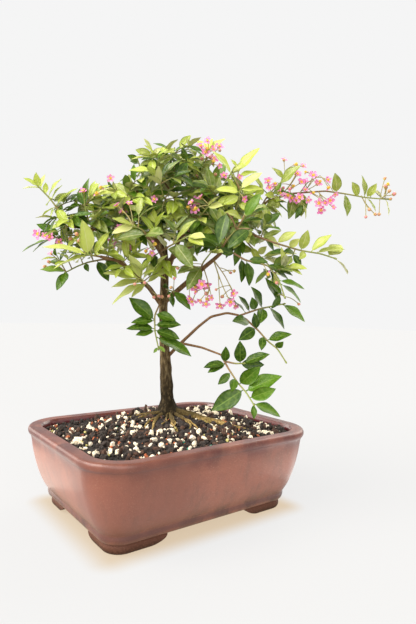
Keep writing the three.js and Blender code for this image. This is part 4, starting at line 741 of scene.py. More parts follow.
def blossom_outline(centre, face):
    start = (0, 0, 1) if abs(face[2]) < UPRIGHT_FACE else (1, 0, 0)
    across = unit(cross(start, face))
    other = cross(face, across)
    outline = []
    for petal in range(PETALS):
        for turn, reach in PETAL_OUTLINE:
            angle = math.radians(360 / PETALS * petal + turn)
            radius = BLOSSOM_RADIUS * reach
            flat = add(times(across, radius * math.cos(angle)), times(other, radius * math.sin(angle)))
            lift = 0 if reach < 1 else PETAL_CUP * radius
            outline.append(add(add(centre, flat), times(face, lift)))
    return outline


def blossom_triangles():
    step = len(PETAL_OUTLINE)
    count = PETALS * step
    triangles = []
    for notch in range(0, count, step):
        after = (notch + step) % count
        triangles += [(notch, notch + 1, notch + 2), (notch, notch + 2, after)]
        if notch > 0 and after > 0:
            triangles.append((0, notch, after))
    return triangles


def place_bunch(bunch):
    """Start and end of the common stalk, and the middle of the flowers."""
    name, stalk, centre = bunch[:3]
    start, centre = from_front(stalk), from_front(centre)
    way = sub(centre, start)
    reach = max(COMMON_STALK["least"], COMMON_STALK["share"] * size(way))
    end = add(start, times(unit(way), reach))
    free = mix_point(start, end, STALK_FREE)
    keep([(free, end, COMMON_STALK["radius"], False)], [], "blossom_" + name, "twig")
    return start, end, centre


def grow_bunch(bunch, place, number):
    name, _, _, spread, open_count, buds = bunch
    start, end, centre = place
    own = "blossom_" + name
    heads = []
    count = open_count + buds
    for n in range(count):
        draw = random_from(BLOSSOM_SEED["start"] + BLOSSOM_SEED["bunch"] * number + n)
        for attempt in range(BLOSSOM_TRIES):
            around = 360 * ((n * GOLDEN_TURN + number * BUNCH_TURN) % 1)
            turn = math.radians(around + BLOSSOM_JITTER * (draw() - 0.5) + BLOSSOM_RETRY_TURN * attempt)
            reach = spread * mix(BLOSSOM_NEAREST, 1, draw())
            rise = spread * (2 * draw() - 1)
            offset = (math.cos(turn) * reach, math.sin(turn) * reach, rise)
            head = add(centre, tuple(v * k for v, k in zip(offset, BLOSSOM_SPREAD)))
            face = unit(add(unit(sub(head, start)), from_front(BLOSSOM_SIDE)))
            is_open = n < open_count
            fork = mix_point(start, end, mix(COMMON_STALK["first"], COMMON_STALK["last"], n / (count - 1)))
            foot = add(fork, times(unit(sub(head, fork)), STALK_ROOT))
            halfway = mix_point(foot, head, 0.5)
            bars = [(foot, halfway, STALK_RADIUS, True), (halfway, head, STALK_NECK, False)]
            triangles = []
            if is_open:
                outline = blossom_outline(head, face)
                rim = [(p, outline[(i + 1) % len(outline)], PETAL_THICKNESS / 2, False)
                       for i, p in enumerate(outline)]
                bars = rim + bars
                triangles = [[outline[i] for i in corners] for corners in blossom_triangles()]
            else:
                bars.append((head, add(head, times(face, 0.1)), BUD_RADIUS, False))
            if is_clear(bars, triangles, own):
                keep(bars, triangles, own, "flower")
                heads.append((foot, head, face, is_open))
                break
    return heads


def soil_height(x, y):
    trunk_x, trunk_y, _ = from_front((*TRUNK_BASE, 0))
    square = (x - trunk_x) ** 2 + (y - trunk_y) ** 2
    return SOIL_LEVEL + MOUND_HEIGHT * np.exp(-square / (2 * MOUND_SPREAD ** 2))


def root_curve(route, rise=ROOT_RISE, dive=ROOT_DIVE, power=4):
    """A root's route on the soil, which it enters towards its end."""
    curve = []
    for i, point in enumerate(route):
        x, y, _ = from_front((point[0], point[1], 0))
        share = i / (len(route) - 1)
        curve.append((x, y, float(soil_height(x, y)) + rise - dive * share ** power))
    return curve


wood_stems = [(route_from_front(route), radii) for radii, route in WOOD]
root_stems = [(root_curve(route), radii) for radii, route in ROOTS]
shoots = []
for name, leaf, pairs, tone, route, *more in SHOOTS:
    side_route, placed = more or ([], [])
    curves = [route_from_front(points) for points in (route, side_route) if points]
    shoots.append((name, leaf, pairs, tone, curves, placed))

for curve, radii in wood_stems + root_stems:
    keep(bars_along(curve, radii), [], "wood", "wood")
for name, leaf, pairs, tone, curves, placed in shoots:
    for curve in curves:
        keep(bars_along(curve, TWIG_RADII), [], name, "twig")
places = [place_bunch(bunch) for bunch in BUNCHES]
bunches = [grow_bunch(bunch, place, n) for n, (bunch, place) in enumerate(zip(BUNCHES, places))]
leaves = {name: place_leaves(name, curves, placed) for name, leaf, pairs, tone, curves, placed in shoots}
for number, (name, leaf, pairs, tone, curves, placed) in enumerate(shoots):
    for pair in range(pairs):
        share = mix(LEAF_FIRST, LEAF_LAST, pair / (pairs - 1))
        seed = LEAF_SEED["shoot"] * (number + 1) + LEAF_SEED["pair"] * pair
        leaves[name] += grow_pair(name, curves[0], leaf, pair, share, pair == pairs - 1, seed)


# Flowers read from the photograph keep clear of each other, and nothing grows in front of them
extra_flowers = {}
for group, kinds in FLOWERS.items():
    extra_flowers[group] = []
    for kind, heads in kinds.items():
        radius = FLOWER_SIZES[kind][0]
        for head in route_from_front(heads):
            ahead = add(head, from_front((0, -SIGHT_LENGTH, 0)))
            body = [(head, add(head, (0, 0, 0.1)), HEAD_SHARE * radius, False)]
            own = "flower_" + group
            if in_the_box(body, FLOWER_SIZES[kind][1]) and is_clear(body, [], own, SPRIG_GAP):
                keep([(head, ahead, SIGHT_SHARE["flower"] * radius, False)], [], own, "flower")
                extra_flowers[group].append((kind, head))


# Large dark leaves in front of the crown, read from the photograph; nothing grows in front of them
front_curves = [route_from_front(route) for route in FRONT_TWIGS]
for curve in front_curves:
    keep(bars_along(curve, (SPRIG_RADIUS, SPRIG_RADIUS)), [], "front_leaves", "twig")
front_leaves = place_leaves("front_leaves", front_curves, FRONT_LEAVES)
for root, direction, face, length in front_leaves:
    middle = add(root, times(direction, 0.5 * length))
    ahead = add(middle, from_front((0, -SIGHT_LENGTH, 0)))
    keep([(middle, ahead, SIGHT_SHARE["leaf"] * length, False)], [], "front_leaves", "flower")


# Sprigs of the clouds, grown after all else
hosts = []
for curve in [curve for curve, radii in wood_stems] + [curve for shoot in shoots for curve in shoot[4]]:
    for a, b in zip(curve, curve[1:]):
        steps = max(1, round(size(sub(b, a)) / HOST_STEP))
        hosts += [mix_point(a, b, k / steps) for k in range(steps + 1)]
hosts = [host for host in hosts if host[2] > HOST_LEVEL]


def sprig_curve(middle, reach, draw):
    """A short bowed twig from the nearest host to a random place in the cloud."""
    while True:
        spot = [2 * draw() - 1 for _ in range(3)]
        if dot(spot, spot) <= 1:
            break
    tip = add(from_front(middle), from_front([s * r for s, r in zip(spot, reach)]))
    near = min(hosts, key=lambda host: size(sub(host, tip)) + HOST_ABOVE * max(0, host[2] - tip[2]))
    span = size(sub(tip, near))
    if not SPRIG_REACH[0] < span < SPRIG_REACH[1]:
        return None
    loose = span * SPRIG_BOW["loose"]
    bow = (loose * (draw() - 0.5), loose * (draw() - 0.5), span * SPRIG_BOW["up"])
    return [near, add(mix_point(near, tip, 0.5), bow), tip]


def sprig_leaf(curve, share, turn, outward, draw):
    point, stem = along(curve, share)
    spread = math.radians(mix(*SPRIG_SPREAD, share) + SPRIG_SPREAD_JITTER * (draw() - 0.5))
    out = swing(*sides_of(stem), turn)
    direction = unit(add(swing(stem, out, spread), (0, 0, -SPRIG_DROOP * draw())))
    loose = times(loosely(draw), SPRIG_FACE["loose"])
    face = add(add(add(outward, (0, 0, SPRIG_FACE["up"])), times(stem, SPRIG_FACE["stem"])), loose)
    return point, direction, squared(face, direction)


def facing_out(tip):
    """Where a sprig's leaves look: out of the crown, and more to the front unless they stand behind it."""
    out = sub(tip, from_front((0, OUTWARD["away"], tip[2] - OUTWARD["below"])))
    if dot(out, from_front((0, 1, 0))) > OUTWARD["behind"]:
        return unit(out)
    return unit(add(unit(out), times(from_front(OUTWARD["side"]), OUTWARD["share"])))


def grow_cloud(name, middle, reach, count, leaf, number):
    """Twigs and leaves of one cloud, each clear of everything already there."""
    grown = []
    for n in range(count):
        draw = random_from(SPRIG_SEED["start"] + SPRIG_SEED["cloud"] * number + n)
        for _ in range(SPRIG_TRIES):
            curve = sprig_curve(middle, reach, draw)
            if curve is None:
                continue
            own = f"{name}_{n}"
            start = along(curve, SPRIG_FREE)[0]
            bars = [(start, curve[1], SPRIG_RADIUS, False), (curve[1], curve[2], SPRIG_RADIUS, False)]
            if not in_the_box(bars) or not is_clear(bars, [], own, SPRIG_GAP):
                continue
            outward = facing_out(curve[2])
            keep(bars, [], own, "twig")
            leaves_here = []
            total = round(mix(*SPRIG_LEAVES, draw()))
            first = 2 * math.pi * draw()
            for k in range(total):
                share = mix(*SPRIG_SHARES, k / (total - 1))
                length = leaf * mix(*SPRIG_LENGTHS, draw())
                for attempt in range(SPRIG_LEAF_TRIES):
                    turn = first + SPRIG_TURNS["leaf"] * k + SPRIG_TURNS["retry"] * attempt
                    point, direction, face = sprig_leaf(curve, share, turn, outward, draw)
                    bars, triangles = leaf_obstacle(point, direction, face, length)
                    if in_the_box(bars) and is_clear(bars, triangles, own, SPRIG_GAP):
                        keep(bars, triangles, own, "leaf")
                        leaves_here.append((point, direction, face, length))
                        break
            grown.append((curve, leaves_here))
            break
    return grown


clouds = [grow_cloud(*cloud[:5], number) for number, cloud in enumerate(CLOUDS)]


# Visual pieces: helpers that build meshes from arrays of points in millimetres
offset = np.array(POT_CENTRE)
UNUSED = (0, 0, 0, 0)
WALL_GAP = 0.1
SOIL_INSET = 13.2
SOIL_RINGS = 44
SOIL_STEPS = {"corner_steps": 10, "long_steps": 26, "short_steps": 20}
# Extra lightness for some shoots' leaves. On rosette_trunk it is painted light, for sun that the crown above
# keeps off it; the other shoots are simply lighter.
LIGHTER_AND_PAINTED_LIGHT = {"rosette_trunk": 0.75, "rosette_left": 0.35, "right_far": 0.35, "right_mid": 0.25}
DARK_SHOOTS = ("left_low", "left_far", "crown_left", "arc_outer", "arc_side", "lowest", "pendant",
               "trunk_side", "centre_dark", "right_low", "crown_stem", "left_upright", "centre_back")

# Camera fitted to the pot's outline, in millimetres and degrees from the pot's centre
CAMERA = {"azimuth": 37.0214, "pitch": -0.16546, "roll": 1.32109, "distance": 450.0871,
          "right": 35.1007, "up": 177.1, "lens": 27.90, "sensor": 36, "nearest": 0.01}
# Light: strengths of the surroundings and of each sun, whose direction is [right, away, up] from the front
AMBIENT = 0.74
BACKGROUND = 0.913
SUNS = [
    ("key", (-0.85, -0.38, 0.75), 4.9, 50, (1.0, 0.97, 0.91)),
    ("fill", (0.1, -0.9, 0.4), 1.9, 60, (1.0, 0.99, 0.97)),
    ("back", (0.55, 0.75, 0.6), 1.4, 50, (1.0, 0.94, 0.84)),
    ("window", (-0.85, 0.5, 0.2), 1.0, 40, (1.0, 0.95, 0.88)),
]
# Cards that lie on the ground and throw light up: middle as [right, away, up], size, power, colour
CARDS = [
    ("left_card", (-175, 30, 1), (110, 170), 0.062, (1.0, 0.9, 0.78)),
    ("right_card", (200, 20, 1), (120, 120), 0.06, (1.0, 0.96, 0.92)),
]


def show(name, data):
    """A new object in the scene."""
    made = bpy.data.objects.new(name, data)
    bpy.context.scene.collection.objects.link(made)
    return made


class Bag:
    """Points, faces, a four-part value for each point and a material number for each face."""

    def __init__(self):
        self.points, self.faces, self.data, self.slots = [], [], [], []
        self.count = 0

    def add(self, points, faces, data, slot=0):
        points = np.asarray(points, float).reshape(-1, 3)
        data = np.broadcast_to(np.asarray(data, float), (len(points), 4))
        self.points.append(points)
        self.data.append(data)
        self.faces += [tuple(int(i) + self.count for i in face) for face in faces]
        self.slots += [slot] * len(faces)
        self.count += len(points)

    def build(self, name, materials, replaces=(), smooth=True):
        mesh = bpy.data.meshes.new(name)
        points = np.concatenate(self.points)
        points = np.clip(points, np.array(box_low) + EDGE_MARGIN, np.array(box_high) - EDGE_MARGIN)
        points[:, 2] = np.maximum(points[:, 2], 0)
        points = points * MM + offset
        mesh.from_pydata(points.tolist(), [], self.faces)
        mesh.polygons.foreach_set("use_smooth", [smooth] * len(mesh.polygons))
        mesh.polygons.foreach_set("material_index", self.slots)
        layer = mesh.attributes.new("part", "FLOAT_COLOR", "POINT")
        layer.data.foreach_set("color", np.concatenate(self.data).ravel())
        for material in materials:
            mesh.materials.append(material)
        mesh.update()
        piece = show(name, mesh)
        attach(piece, "root")
        if replaces:
            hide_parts(*replaces)
        return piece


def grid_faces(rows, columns, first=0, closed=False, flip=False):
    faces = []
    across = columns if closed else columns - 1
    for r in range(rows - 1):
        for k in range(across):
            a = first + r * columns + k
            b = first + r * columns + (k + 1) % columns
            face = (a, b, b + columns, a + columns)
            faces.append(face[::-1] if flip else face)
    return faces


def rounded_path(curve, step=1.6, passes=3):
    """A route's straight spans sampled evenly, with its corners rounded off."""
    points = [np.array(curve[0])]
    for a, b in zip(curve, curve[1:]):
        a, b = np.array(a), np.array(b)
        count = max(1, int(round(np.linalg.norm(b - a) / step)))
        points += [a + (b - a) * k / count for k in range(1, count + 1)]
    path = np.array(points)
    for _ in range(passes):
        path[1:-1] = (path[:-2] + 2 * path[1:-1] + path[2:]) / 4
    return path


def lengths_along(path):
    return np.concatenate([[0], np.cumsum(np.linalg.norm(np.diff(np.asarray(path), axis=0), axis=1))])


def radii_along(radii, curve, path):
    """Radii given at a route's points, read at every point of its rounded path."""
    knots, steps = lengths_along(curve), lengths_along(path)
    given = np.interp(np.linspace(0, 1, len(curve)), np.linspace(0, 1, len(radii)), radii)
    return np.interp(steps / steps[-1], knots / knots[-1], given)


def start_for(axis):
    """A direction that is far from an axis."""
    return np.array([0.0, 0.0, 1.0]) if abs(axis[2]) < UPRIGHT_FACE else np.array([1.0, 0.0, 0.0])


def square_to(axis):
    """Two directions square to an axis and to each other."""
    across = np.cross(start_for(axis), axis)
    across /= np.linalg.norm(across)
    return across, np.cross(axis, across)


def tube(bag, path, radii, sides, data, shape=None):
    """A closed tube. data is one value, or one for each ring; shape(ring, angles) scales the radius."""
    path = np.asarray(path, float)
    directions = np.gradient(path, axis=0)
    directions /= np.linalg.norm(directions, axis=1)[:, None]
    across = start_for(directions[0])
    angles = np.linspace(0, 2 * np.pi, sides, endpoint=False)
    rings = []
    for i, (centre, direction) in enumerate(zip(path, directions)):
        across = across - direction * np.dot(across, direction)
        across /= np.linalg.norm(across)
        other = np.cross(direction, across)
        factor = np.ones(sides) if shape is None else shape(i, angles)
        radius = (radii[i] * factor)[:, None]
        rings.append(centre + radius * (np.cos(angles)[:, None] * across + np.sin(angles)[:, None] * other))
    count = len(path)
    points = np.concatenate(rings + [path[:1], path[-1:]])
    faces = grid_faces(count, sides, closed=True)
    first, last = count * sides, count * sides + 1
    top = (count - 1) * sides
    for k in range(sides):
        after = (k + 1) % sides
        faces += [(first, after, k), (last, top + k, top + after)]
    data = np.asarray(data, float)
    if data.ndim == 2:
        data = np.concatenate([np.repeat(data, sides, axis=0), data[:1], data[-1:]])
    bag.add(points, faces, data)


def twig(bag, curve, radii, sides, step, greener, tone=0):
    """A twig that turns from brown to green along its length, as far as the two shares in greener say."""
    path = rounded_path(curve, step=step)
    values = np.zeros((len(path), 4))
    values[:, 1] = np.linspace(*greener, len(path))
    values[:, 2] = tone
    tube(bag, path, np.linspace(*radii, len(path)), sides, values)


def ball(bag, centre, radii, axis, data, slot=0, rings=5, sides=8):
    """A small closed bead, longer or flatter along its axis."""
    centre, axis = np.array(centre), np.array(axis, float)
    across, other = square_to(axis)
    angles = np.linspace(0, 2 * np.pi, sides, endpoint=False)
    ring = np.cos(angles)[:, None] * across + np.sin(angles)[:, None] * other
    points = [centre - axis * radii[1]]
    for r in range(1, rings):
        turn = np.pi * r / rings
        points += list(centre - axis * radii[1] * math.cos(turn) + radii[0] * math.sin(turn) * ring)
    points.append(centre + axis * radii[1])
    faces = []
    last = len(points) - 1
    for k in range(sides):
        after = (k + 1) % sides
        faces += [(0, 1 + after, 1 + k), (last, last - sides + k, last - sides + after)]
    faces += grid_faces(rings - 1, sides, first=1, closed=True)
    bag.add(points, faces, data, slot)


EDGE_THINNER = 0.55
EDGES_APART = 1.3


def blade(bag, root, direction, face, length, form, tone, draw, slot=1):
    """A thin closed leaf or petal: form gives its rows, outline, arch, fold, wave and thickness."""
    phase = FULL_TURN * draw()
    rows = np.array(form["rows"])
    columns = form["columns"]
    s, u = np.meshgrid(rows, np.linspace(-1, 1, columns), indexing="ij")
    half = form["width"] / 2 * length * form["profile"](rows)[:, None]
    d, f = np.array(direction), np.array(face)
    a = np.cross(f, d)
    edge = np.abs(u) ** 1.5
    lift = -form["arch"] * length * s * s + form["fold"] * np.abs(u) * half
    ripple = np.sin(phase + form["waves"] * s * 2 * np.pi + np.sign(u) * EDGES_APART)
    lift += form["wave"] * ripple * edge * half
    sway = form["sway"] * length * np.sin(phase * 1.7) * s * s
    middle = np.array(root) + (length * s)[..., None] * d
    middle = middle + (u * half + sway)[..., None] * a + lift[..., None] * f
    thick = form["thickness"] / 2 * (1 - EDGE_THINNER * u * u)
    thick = np.maximum(thick, np.where(s < form["stalk"], form["stalk_thickness"] / 2, 0))
    top = (middle + thick[..., None] * f).reshape(-1, 3)
    bottom = (middle - thick[..., None] * f).reshape(-1, 3)
    under = u.size
    faces = grid_faces(len(rows), columns, flip=True) + grid_faces(len(rows), columns, first=under)
    edges = []
    for left in range(0, under - columns, columns):
        right = left + columns - 1
        edges += [(left, left + columns), (right + columns, right)]
    for k in range(columns - 1):
        last = under - columns + k
        edges += [(k + 1, k), (last, last + 1)]
    faces += [(a, b, under + b, under + a) for a, b in edges]
    base = np.stack([u.ravel() / 2 + 0.5, s.ravel(), np.full(u.size, tone), np.zeros(u.size)], axis=1)
    far = base.copy()
    far[:, 3] = 1
    bag.add(np.concatenate([top, bottom]), faces, np.concatenate([base, far]), slot)


def leaf_profile(s):
    t = np.clip((s - 0.06) / 0.94, 0, 1)
    body = np.sin(np.pi * t ** 0.86) ** (0.78 + 0.12 * t)
    return np.maximum(body, np.where(s < 0.5, 0.045, 0.01))


def petal_profile(s):
    t = np.clip((s - 0.34) / 0.66, 0, 1)
    limb = np.sin(np.pi * np.clip(t ** 0.78, 0, 1)) ** 0.5
    return np.maximum(limb, np.where(s < 0.5, 0.16, 0.3))


INWARD = {"step": 2.0, "most": 8, "shorter": 0.95, "margin": 0.6}


def turned_inward(leaf):
    """A leaf that would leave the CAD's box leans back, then grows shorter, until it is inside."""
    root, direction, face, length = leaf
    tip = add(root, times(direction, length))
    for step in range(2 * INWARD["most"]):
        bars, _ = leaf_obstacle(root, direction, face, length)
        if in_the_box(bars, INWARD["margin"]):
            break
        if step < INWARD["most"]:
            tip = add(tip, from_front((0, INWARD["step"], 0)))
        else:
            tip = mix_point(root, tip, INWARD["shorter"])
        length = size(sub(tip, root))
        direction = unit(sub(tip, root))
        face = squared(face, direction)
    return root, direction, face, length


FULL_TURN = 6.28
LEAF_FORM = {
    "rows": (0, 0.03, 0.065, 0.12, 0.2, 0.3, 0.4, 0.5, 0.6, 0.7, 0.8, 0.89, 0.955, 1),
    "columns": 7, "width": LEAF_WIDTH, "profile": leaf_profile, "arch": LEAF_ARCH, "fold": 0.22,
    "wave": 0.1, "waves": 1.6, "sway": 0.03, "thickness": 0.32, "stalk": 0.06, "stalk_thickness": 0.8,
}
SPRIG_FORM = {**LEAF_FORM, "width": 0.42, "arch": 0.2, "fold": 0.3}
DARK_SHARE = 0.48
PETAL_FORM = {
    "rows": (0, 0.16, 0.32, 0.42, 0.54, 0.66, 0.78, 0.89, 0.97, 1),
    "columns": 7, "width": 0.66, "profile": petal_profile, "arch": 0.1, "fold": 0.24,
    "wave": 0.34, "waves": 3.1, "sway": 0.05, "thickness": 0.22, "stalk": 0.3, "stalk_thickness": 0.35,
}


# Materials
def srgb(*values):
    """A colour given by its screen values from 0 to 255, as linear light."""
    linear = [((v / 255 + 0.055) / 1.055) ** 2.4 if v > 10.31 else v / 255 / 12.92 for v in values]
    return (*linear, 1)


class Shader:
    """A material with short ways to add nodes."""

    def __init__(self, name, roughness=0.5, **sockets):
        self.material = bpy.data.materials.new(name)
        self.material.use_nodes = True
        self.tree = self.material.node_tree
        self.tree.nodes.clear()
        self.out = self.tree.nodes.new("ShaderNodeOutputMaterial")
        self.bsdf = self.tree.nodes.new("ShaderNodeBsdfPrincipled")
        self.bsdf.inputs["Roughness"].default_value = roughness
        for socket, value in sockets.items():
            self.bsdf.inputs[socket.replace("_", " ")].default_value = value
        self.link(self.bsdf.outputs[0], self.out.inputs["Surface"])
        coordinates = self.tree.nodes.new("ShaderNodeTexCoord")
        scale = self.tree.nodes.new("ShaderNodeVectorMath")
        scale.operation = "SCALE"
        scale.inputs["Scale"].default_value = 1 / MM
        self.link(coordinates.outputs["Object"], scale.inputs[0])
        self.place = scale.outputs[0]

    def link(self, a, b):
        self.tree.links.new(a, b)

    def put(self, socket, value):
        if isinstance(value, bpy.types.NodeSocket):
            self.link(value, socket)
        else:
            socket.default_value = value

    def stretched(self, x, y, z):
        node = self.tree.nodes.new("ShaderNodeMapping")
        self.link(self.place, node.inputs["Vector"])
        node.inputs["Scale"].default_value = (x, y, z)
        return node.outputs[0]

    def noise(self, scale, detail=3, roughness=0.55, place=None):
        node = self.tree.nodes.new("ShaderNodeTexNoise")
        self.link(place or self.place, node.inputs["Vector"])
        node.inputs["Scale"].default_value = scale
        node.inputs["Detail"].default_value = detail
        node.inputs["Roughness"].default_value = roughness
        return node.outputs["Fac"]

    def part(self):
        """The mesh's own values: across, along, tone and a fourth one."""
        attribute = self.tree.nodes.new("ShaderNodeAttribute")
        attribute.attribute_name = "part"
        split = self.tree.nodes.new("ShaderNodeSeparateColor")
        self.link(attribute.outputs["Color"], split.inputs[0])
        return (*split.outputs, attribute.outputs["Alpha"])

    def axes(self):
        """The place's x, y and height in millimetres."""
        node = self.tree.nodes.new("ShaderNodeSeparateXYZ")
        self.link(self.place, node.inputs[0])
        return tuple(node.outputs)

    def height(self, low, high, first=0.0, last=1.0):
        return self.ease(self.axes()[2], low, high, first, last)

    def sums(self, operation, a, b=0.0):
        node = self.tree.nodes.new("ShaderNodeMath")
        node.operation = operation
        self.put(node.inputs[0], a)
        self.put(node.inputs[1], b)
        return node.outputs[0]

    def times(self, a, b):
        return self.sums("MULTIPLY", a, b)

    def plus(self, a, b):
        return self.sums("ADD", a, b)

    def off(self, value, middle=0.5):
        """How far a value is from a middle."""
        return self.sums("ABSOLUTE", self.sums("SUBTRACT", value, middle))

    def ease(self, value, low, high, first=0.0, last=1.0):
        node = self.tree.nodes.new("ShaderNodeMapRange")
        node.interpolation_type = "SMOOTHSTEP"
        self.put(node.inputs["Value"], value)
        for socket, number in (("From Min", low), ("From Max", high), ("To Min", first), ("To Max", last)):
            node.inputs[socket].default_value = number
        return node.outputs["Result"]

    def ramp(self, value, stops):
        node = self.tree.nodes.new("ShaderNodeValToRGB")
        self.link(value, node.inputs[0])
        elements = node.color_ramp.elements
        while len(elements) < len(stops):
            elements.new(0.5)
        for element, (position, colour) in zip(elements, stops):
            element.position = position
            element.color = colour
        return node.outputs["Color"]

    def blend(self, factor, a, b):
        node = self.tree.nodes.new("ShaderNodeMix")
        node.data_type = "RGBA"
        self.put(node.inputs[0], factor)
        self.put(node.inputs[6], a)
        self.put(node.inputs[7], b)
        return node.outputs[2]

    def tint(self, body, factor, share, colour):
        """A body with a share of a colour where the factor is 1."""
        return self.blend(self.times(factor, share), body, colour)

    def patches(self, body, noise, low, high, most, colour):
        """A body with patches of a colour where a noise lies past low, towards high."""
        return self.blend(self.ease(noise, low, high, 0, most), body, colour)

    def bump(self, height, strength, distance=1.0):
        node = self.tree.nodes.new("ShaderNodeBump")
        self.link(height, node.inputs["Height"])
        node.inputs["Strength"].default_value = strength
        node.inputs["Distance"].default_value = distance * MM
        self.link(node.outputs[0], self.bsdf.inputs["Normal"])

    def colour(self, value):
        self.put(self.bsdf.inputs["Base Color"], value)

    def translucent(self, colour, share):
        """Lets light shine through thin leaves and petals."""
        glow = self.tree.nodes.new("ShaderNodeBsdfTranslucent")
        self.put(glow.inputs["Color"], colour)
        join = self.tree.nodes.new("ShaderNodeMixShader")
        join.inputs[0].default_value = share
        self.link(self.bsdf.outputs[0], join.inputs[1])
        self.link(glow.outputs[0], join.inputs[2])
        self.link(join.outputs[0], self.out.inputs["Surface"])


def leaf_material(name, dark, light, pale, vein, glow, roughness, share, shine=0.5):
    s = Shader(name, roughness=roughness, Specular_IOR_Level=shine)
    across, along_leaf, tone, under = s.part()
    side = s.off(across)
    midrib = s.ease(side, 0.015, 0.045, 1, 0)
    phase = s.sums("SUBTRACT", s.times(along_leaf, 9.0), s.times(side, 5.5))
    fold = s.off(s.sums("FRACT", phase))
    veins = s.times(s.ease(fold, 0.03, 0.1, 1, 0), s.ease(side, 0.3, 0.48, 0.55, 0.15))
    body = s.blend(s.ease(tone, 0, 1), dark, light)
    # Leaves of the highest tone turn pale cream: partly their own paleness, partly a painted highlight.
    body = s.patches(body, tone, 0.72, 1, 0.6, pale)
    body = s.patches(body, s.noise(0.35, 3), 0.3, 0.8, 0.3, pale)
    body = s.patches(body, s.noise(0.09, 2), 0.5, 0.75, 0.3, light)
    body = s.tint(body, veins, 0.18, vein)
    body = s.tint(body, midrib, 0.6, vein)
    s.colour(s.tint(body, under, 0.6, pale))
    relief = s.plus(s.times(veins, -0.5), s.times(midrib, -1.0))
    s.bump(s.plus(relief, s.times(s.noise(1.6, 2), 0.5)), 0.35, 0.3)
    s.translucent(glow, share)
    return s.material


def petal_material():
    s = Shader("petal_pink", roughness=0.55)
    across, along_petal, tone, under = s.part()
    body = s.blend(s.ease(tone, 0, 1), srgb(246, 154, 208), srgb(252, 200, 230))
    body = s.patches(body, s.noise(0.9, 2), 0.35, 0.75, 0.4, srgb(236, 124, 190))
    body = s.blend(s.ease(along_petal, 0.1, 0.45, 0.6, 0), body, srgb(226, 96, 158))
    streak = s.off(s.sums("FRACT", s.times(s.off(across), 9.0)))
    body = s.blend(s.ease(streak, 0.02, 0.12, 0.2, 0), body, srgb(232, 110, 164))
    s.colour(s.tint(body, under, 0.3, srgb(254, 218, 234)))
    s.bump(s.noise(2.2, 2), 0.3, 0.3)
    s.translucent(srgb(250, 160, 214), 0.4)
    return s.material


def plain_material(name, first, second, scale, roughness, relief=0.2):
    """Two colours that mingle in patches, with a fine relief and a tone for each piece."""
    s = Shader(name, roughness=roughness)
    tone = s.part()[2]
    body = s.patches(first, s.noise(scale, 4), 0.35, 0.7, 1, second)
    s.colour(s.tint(body, tone, 0.5, second))
    s.bump(s.noise(scale * 3, 3), relief, 0.4)
    return s.material


def bark_material():
    s = Shader("bark", roughness=0.85, Specular_IOR_Level=0.15)
    thickness = s.part()[2]
    grain = s.noise(0.55, 5, place=s.stretched(1, 1, 0.28))
    fine = s.noise(1.8, 3, place=s.stretched(1, 1, 0.5))
    body = s.ramp(grain, [
        (0.3, srgb(52, 40, 26)), (0.48, srgb(96, 78, 52)),
        (0.62, srgb(140, 120, 86)), (0.8, srgb(182, 166, 132)),
    ])
    body = s.patches(body, fine, 0.5, 0.8, 0.5, srgb(80, 62, 44))
    # The bark turns nearly black towards the trunk's foot, in uneven patches.
    darker_foot = s.times(s.height(92, 150, 1, 0), s.ease(s.noise(0.3, 3), 0.3, 0.55, 0.7, 1))
    body = s.tint(body, darker_foot, 0.95, srgb(24, 18, 5))
    s.colour(s.blend(s.ease(thickness, 0.25, 0.6, 0.7, 0), body, srgb(126, 92, 62)))
    s.bump(s.plus(grain, s.times(fine, 0.4)), 0.7, 1.2)
    return s.material


def root_material():
    s = Shader("root_skin", roughness=0.8, Specular_IOR_Level=0.2)
    grain = s.noise(0.5, 5)
    body = s.ramp(grain, [(0.3, srgb(84, 64, 32)), (0.5, srgb(150, 124, 72)), (0.7, srgb(198, 170, 112))])
    body = s.patches(body, s.noise(0.12, 3), 0.5, 0.65, 0.5, srgb(92, 88, 34))
    s.colour(s.blend(s.height(72, 77, 0, 0.85), body, srgb(52, 42, 18)))
    s.bump(s.noise(1.2, 4), 0.5, 0.8)
    return s.material


def twig_material(name, first, second):
    s = Shader(name, roughness=0.6)
    along_twig = s.part()[1]
    body = s.blend(s.ease(along_twig, 0.15, 0.85), first, second)
    s.colour(s.patches(body, s.noise(0.7, 4), 0.45, 0.7, 0.5, srgb(112, 84, 56)))
    s.bump(s.noise(1.5, 3), 0.3, 0.4)
    return s.material


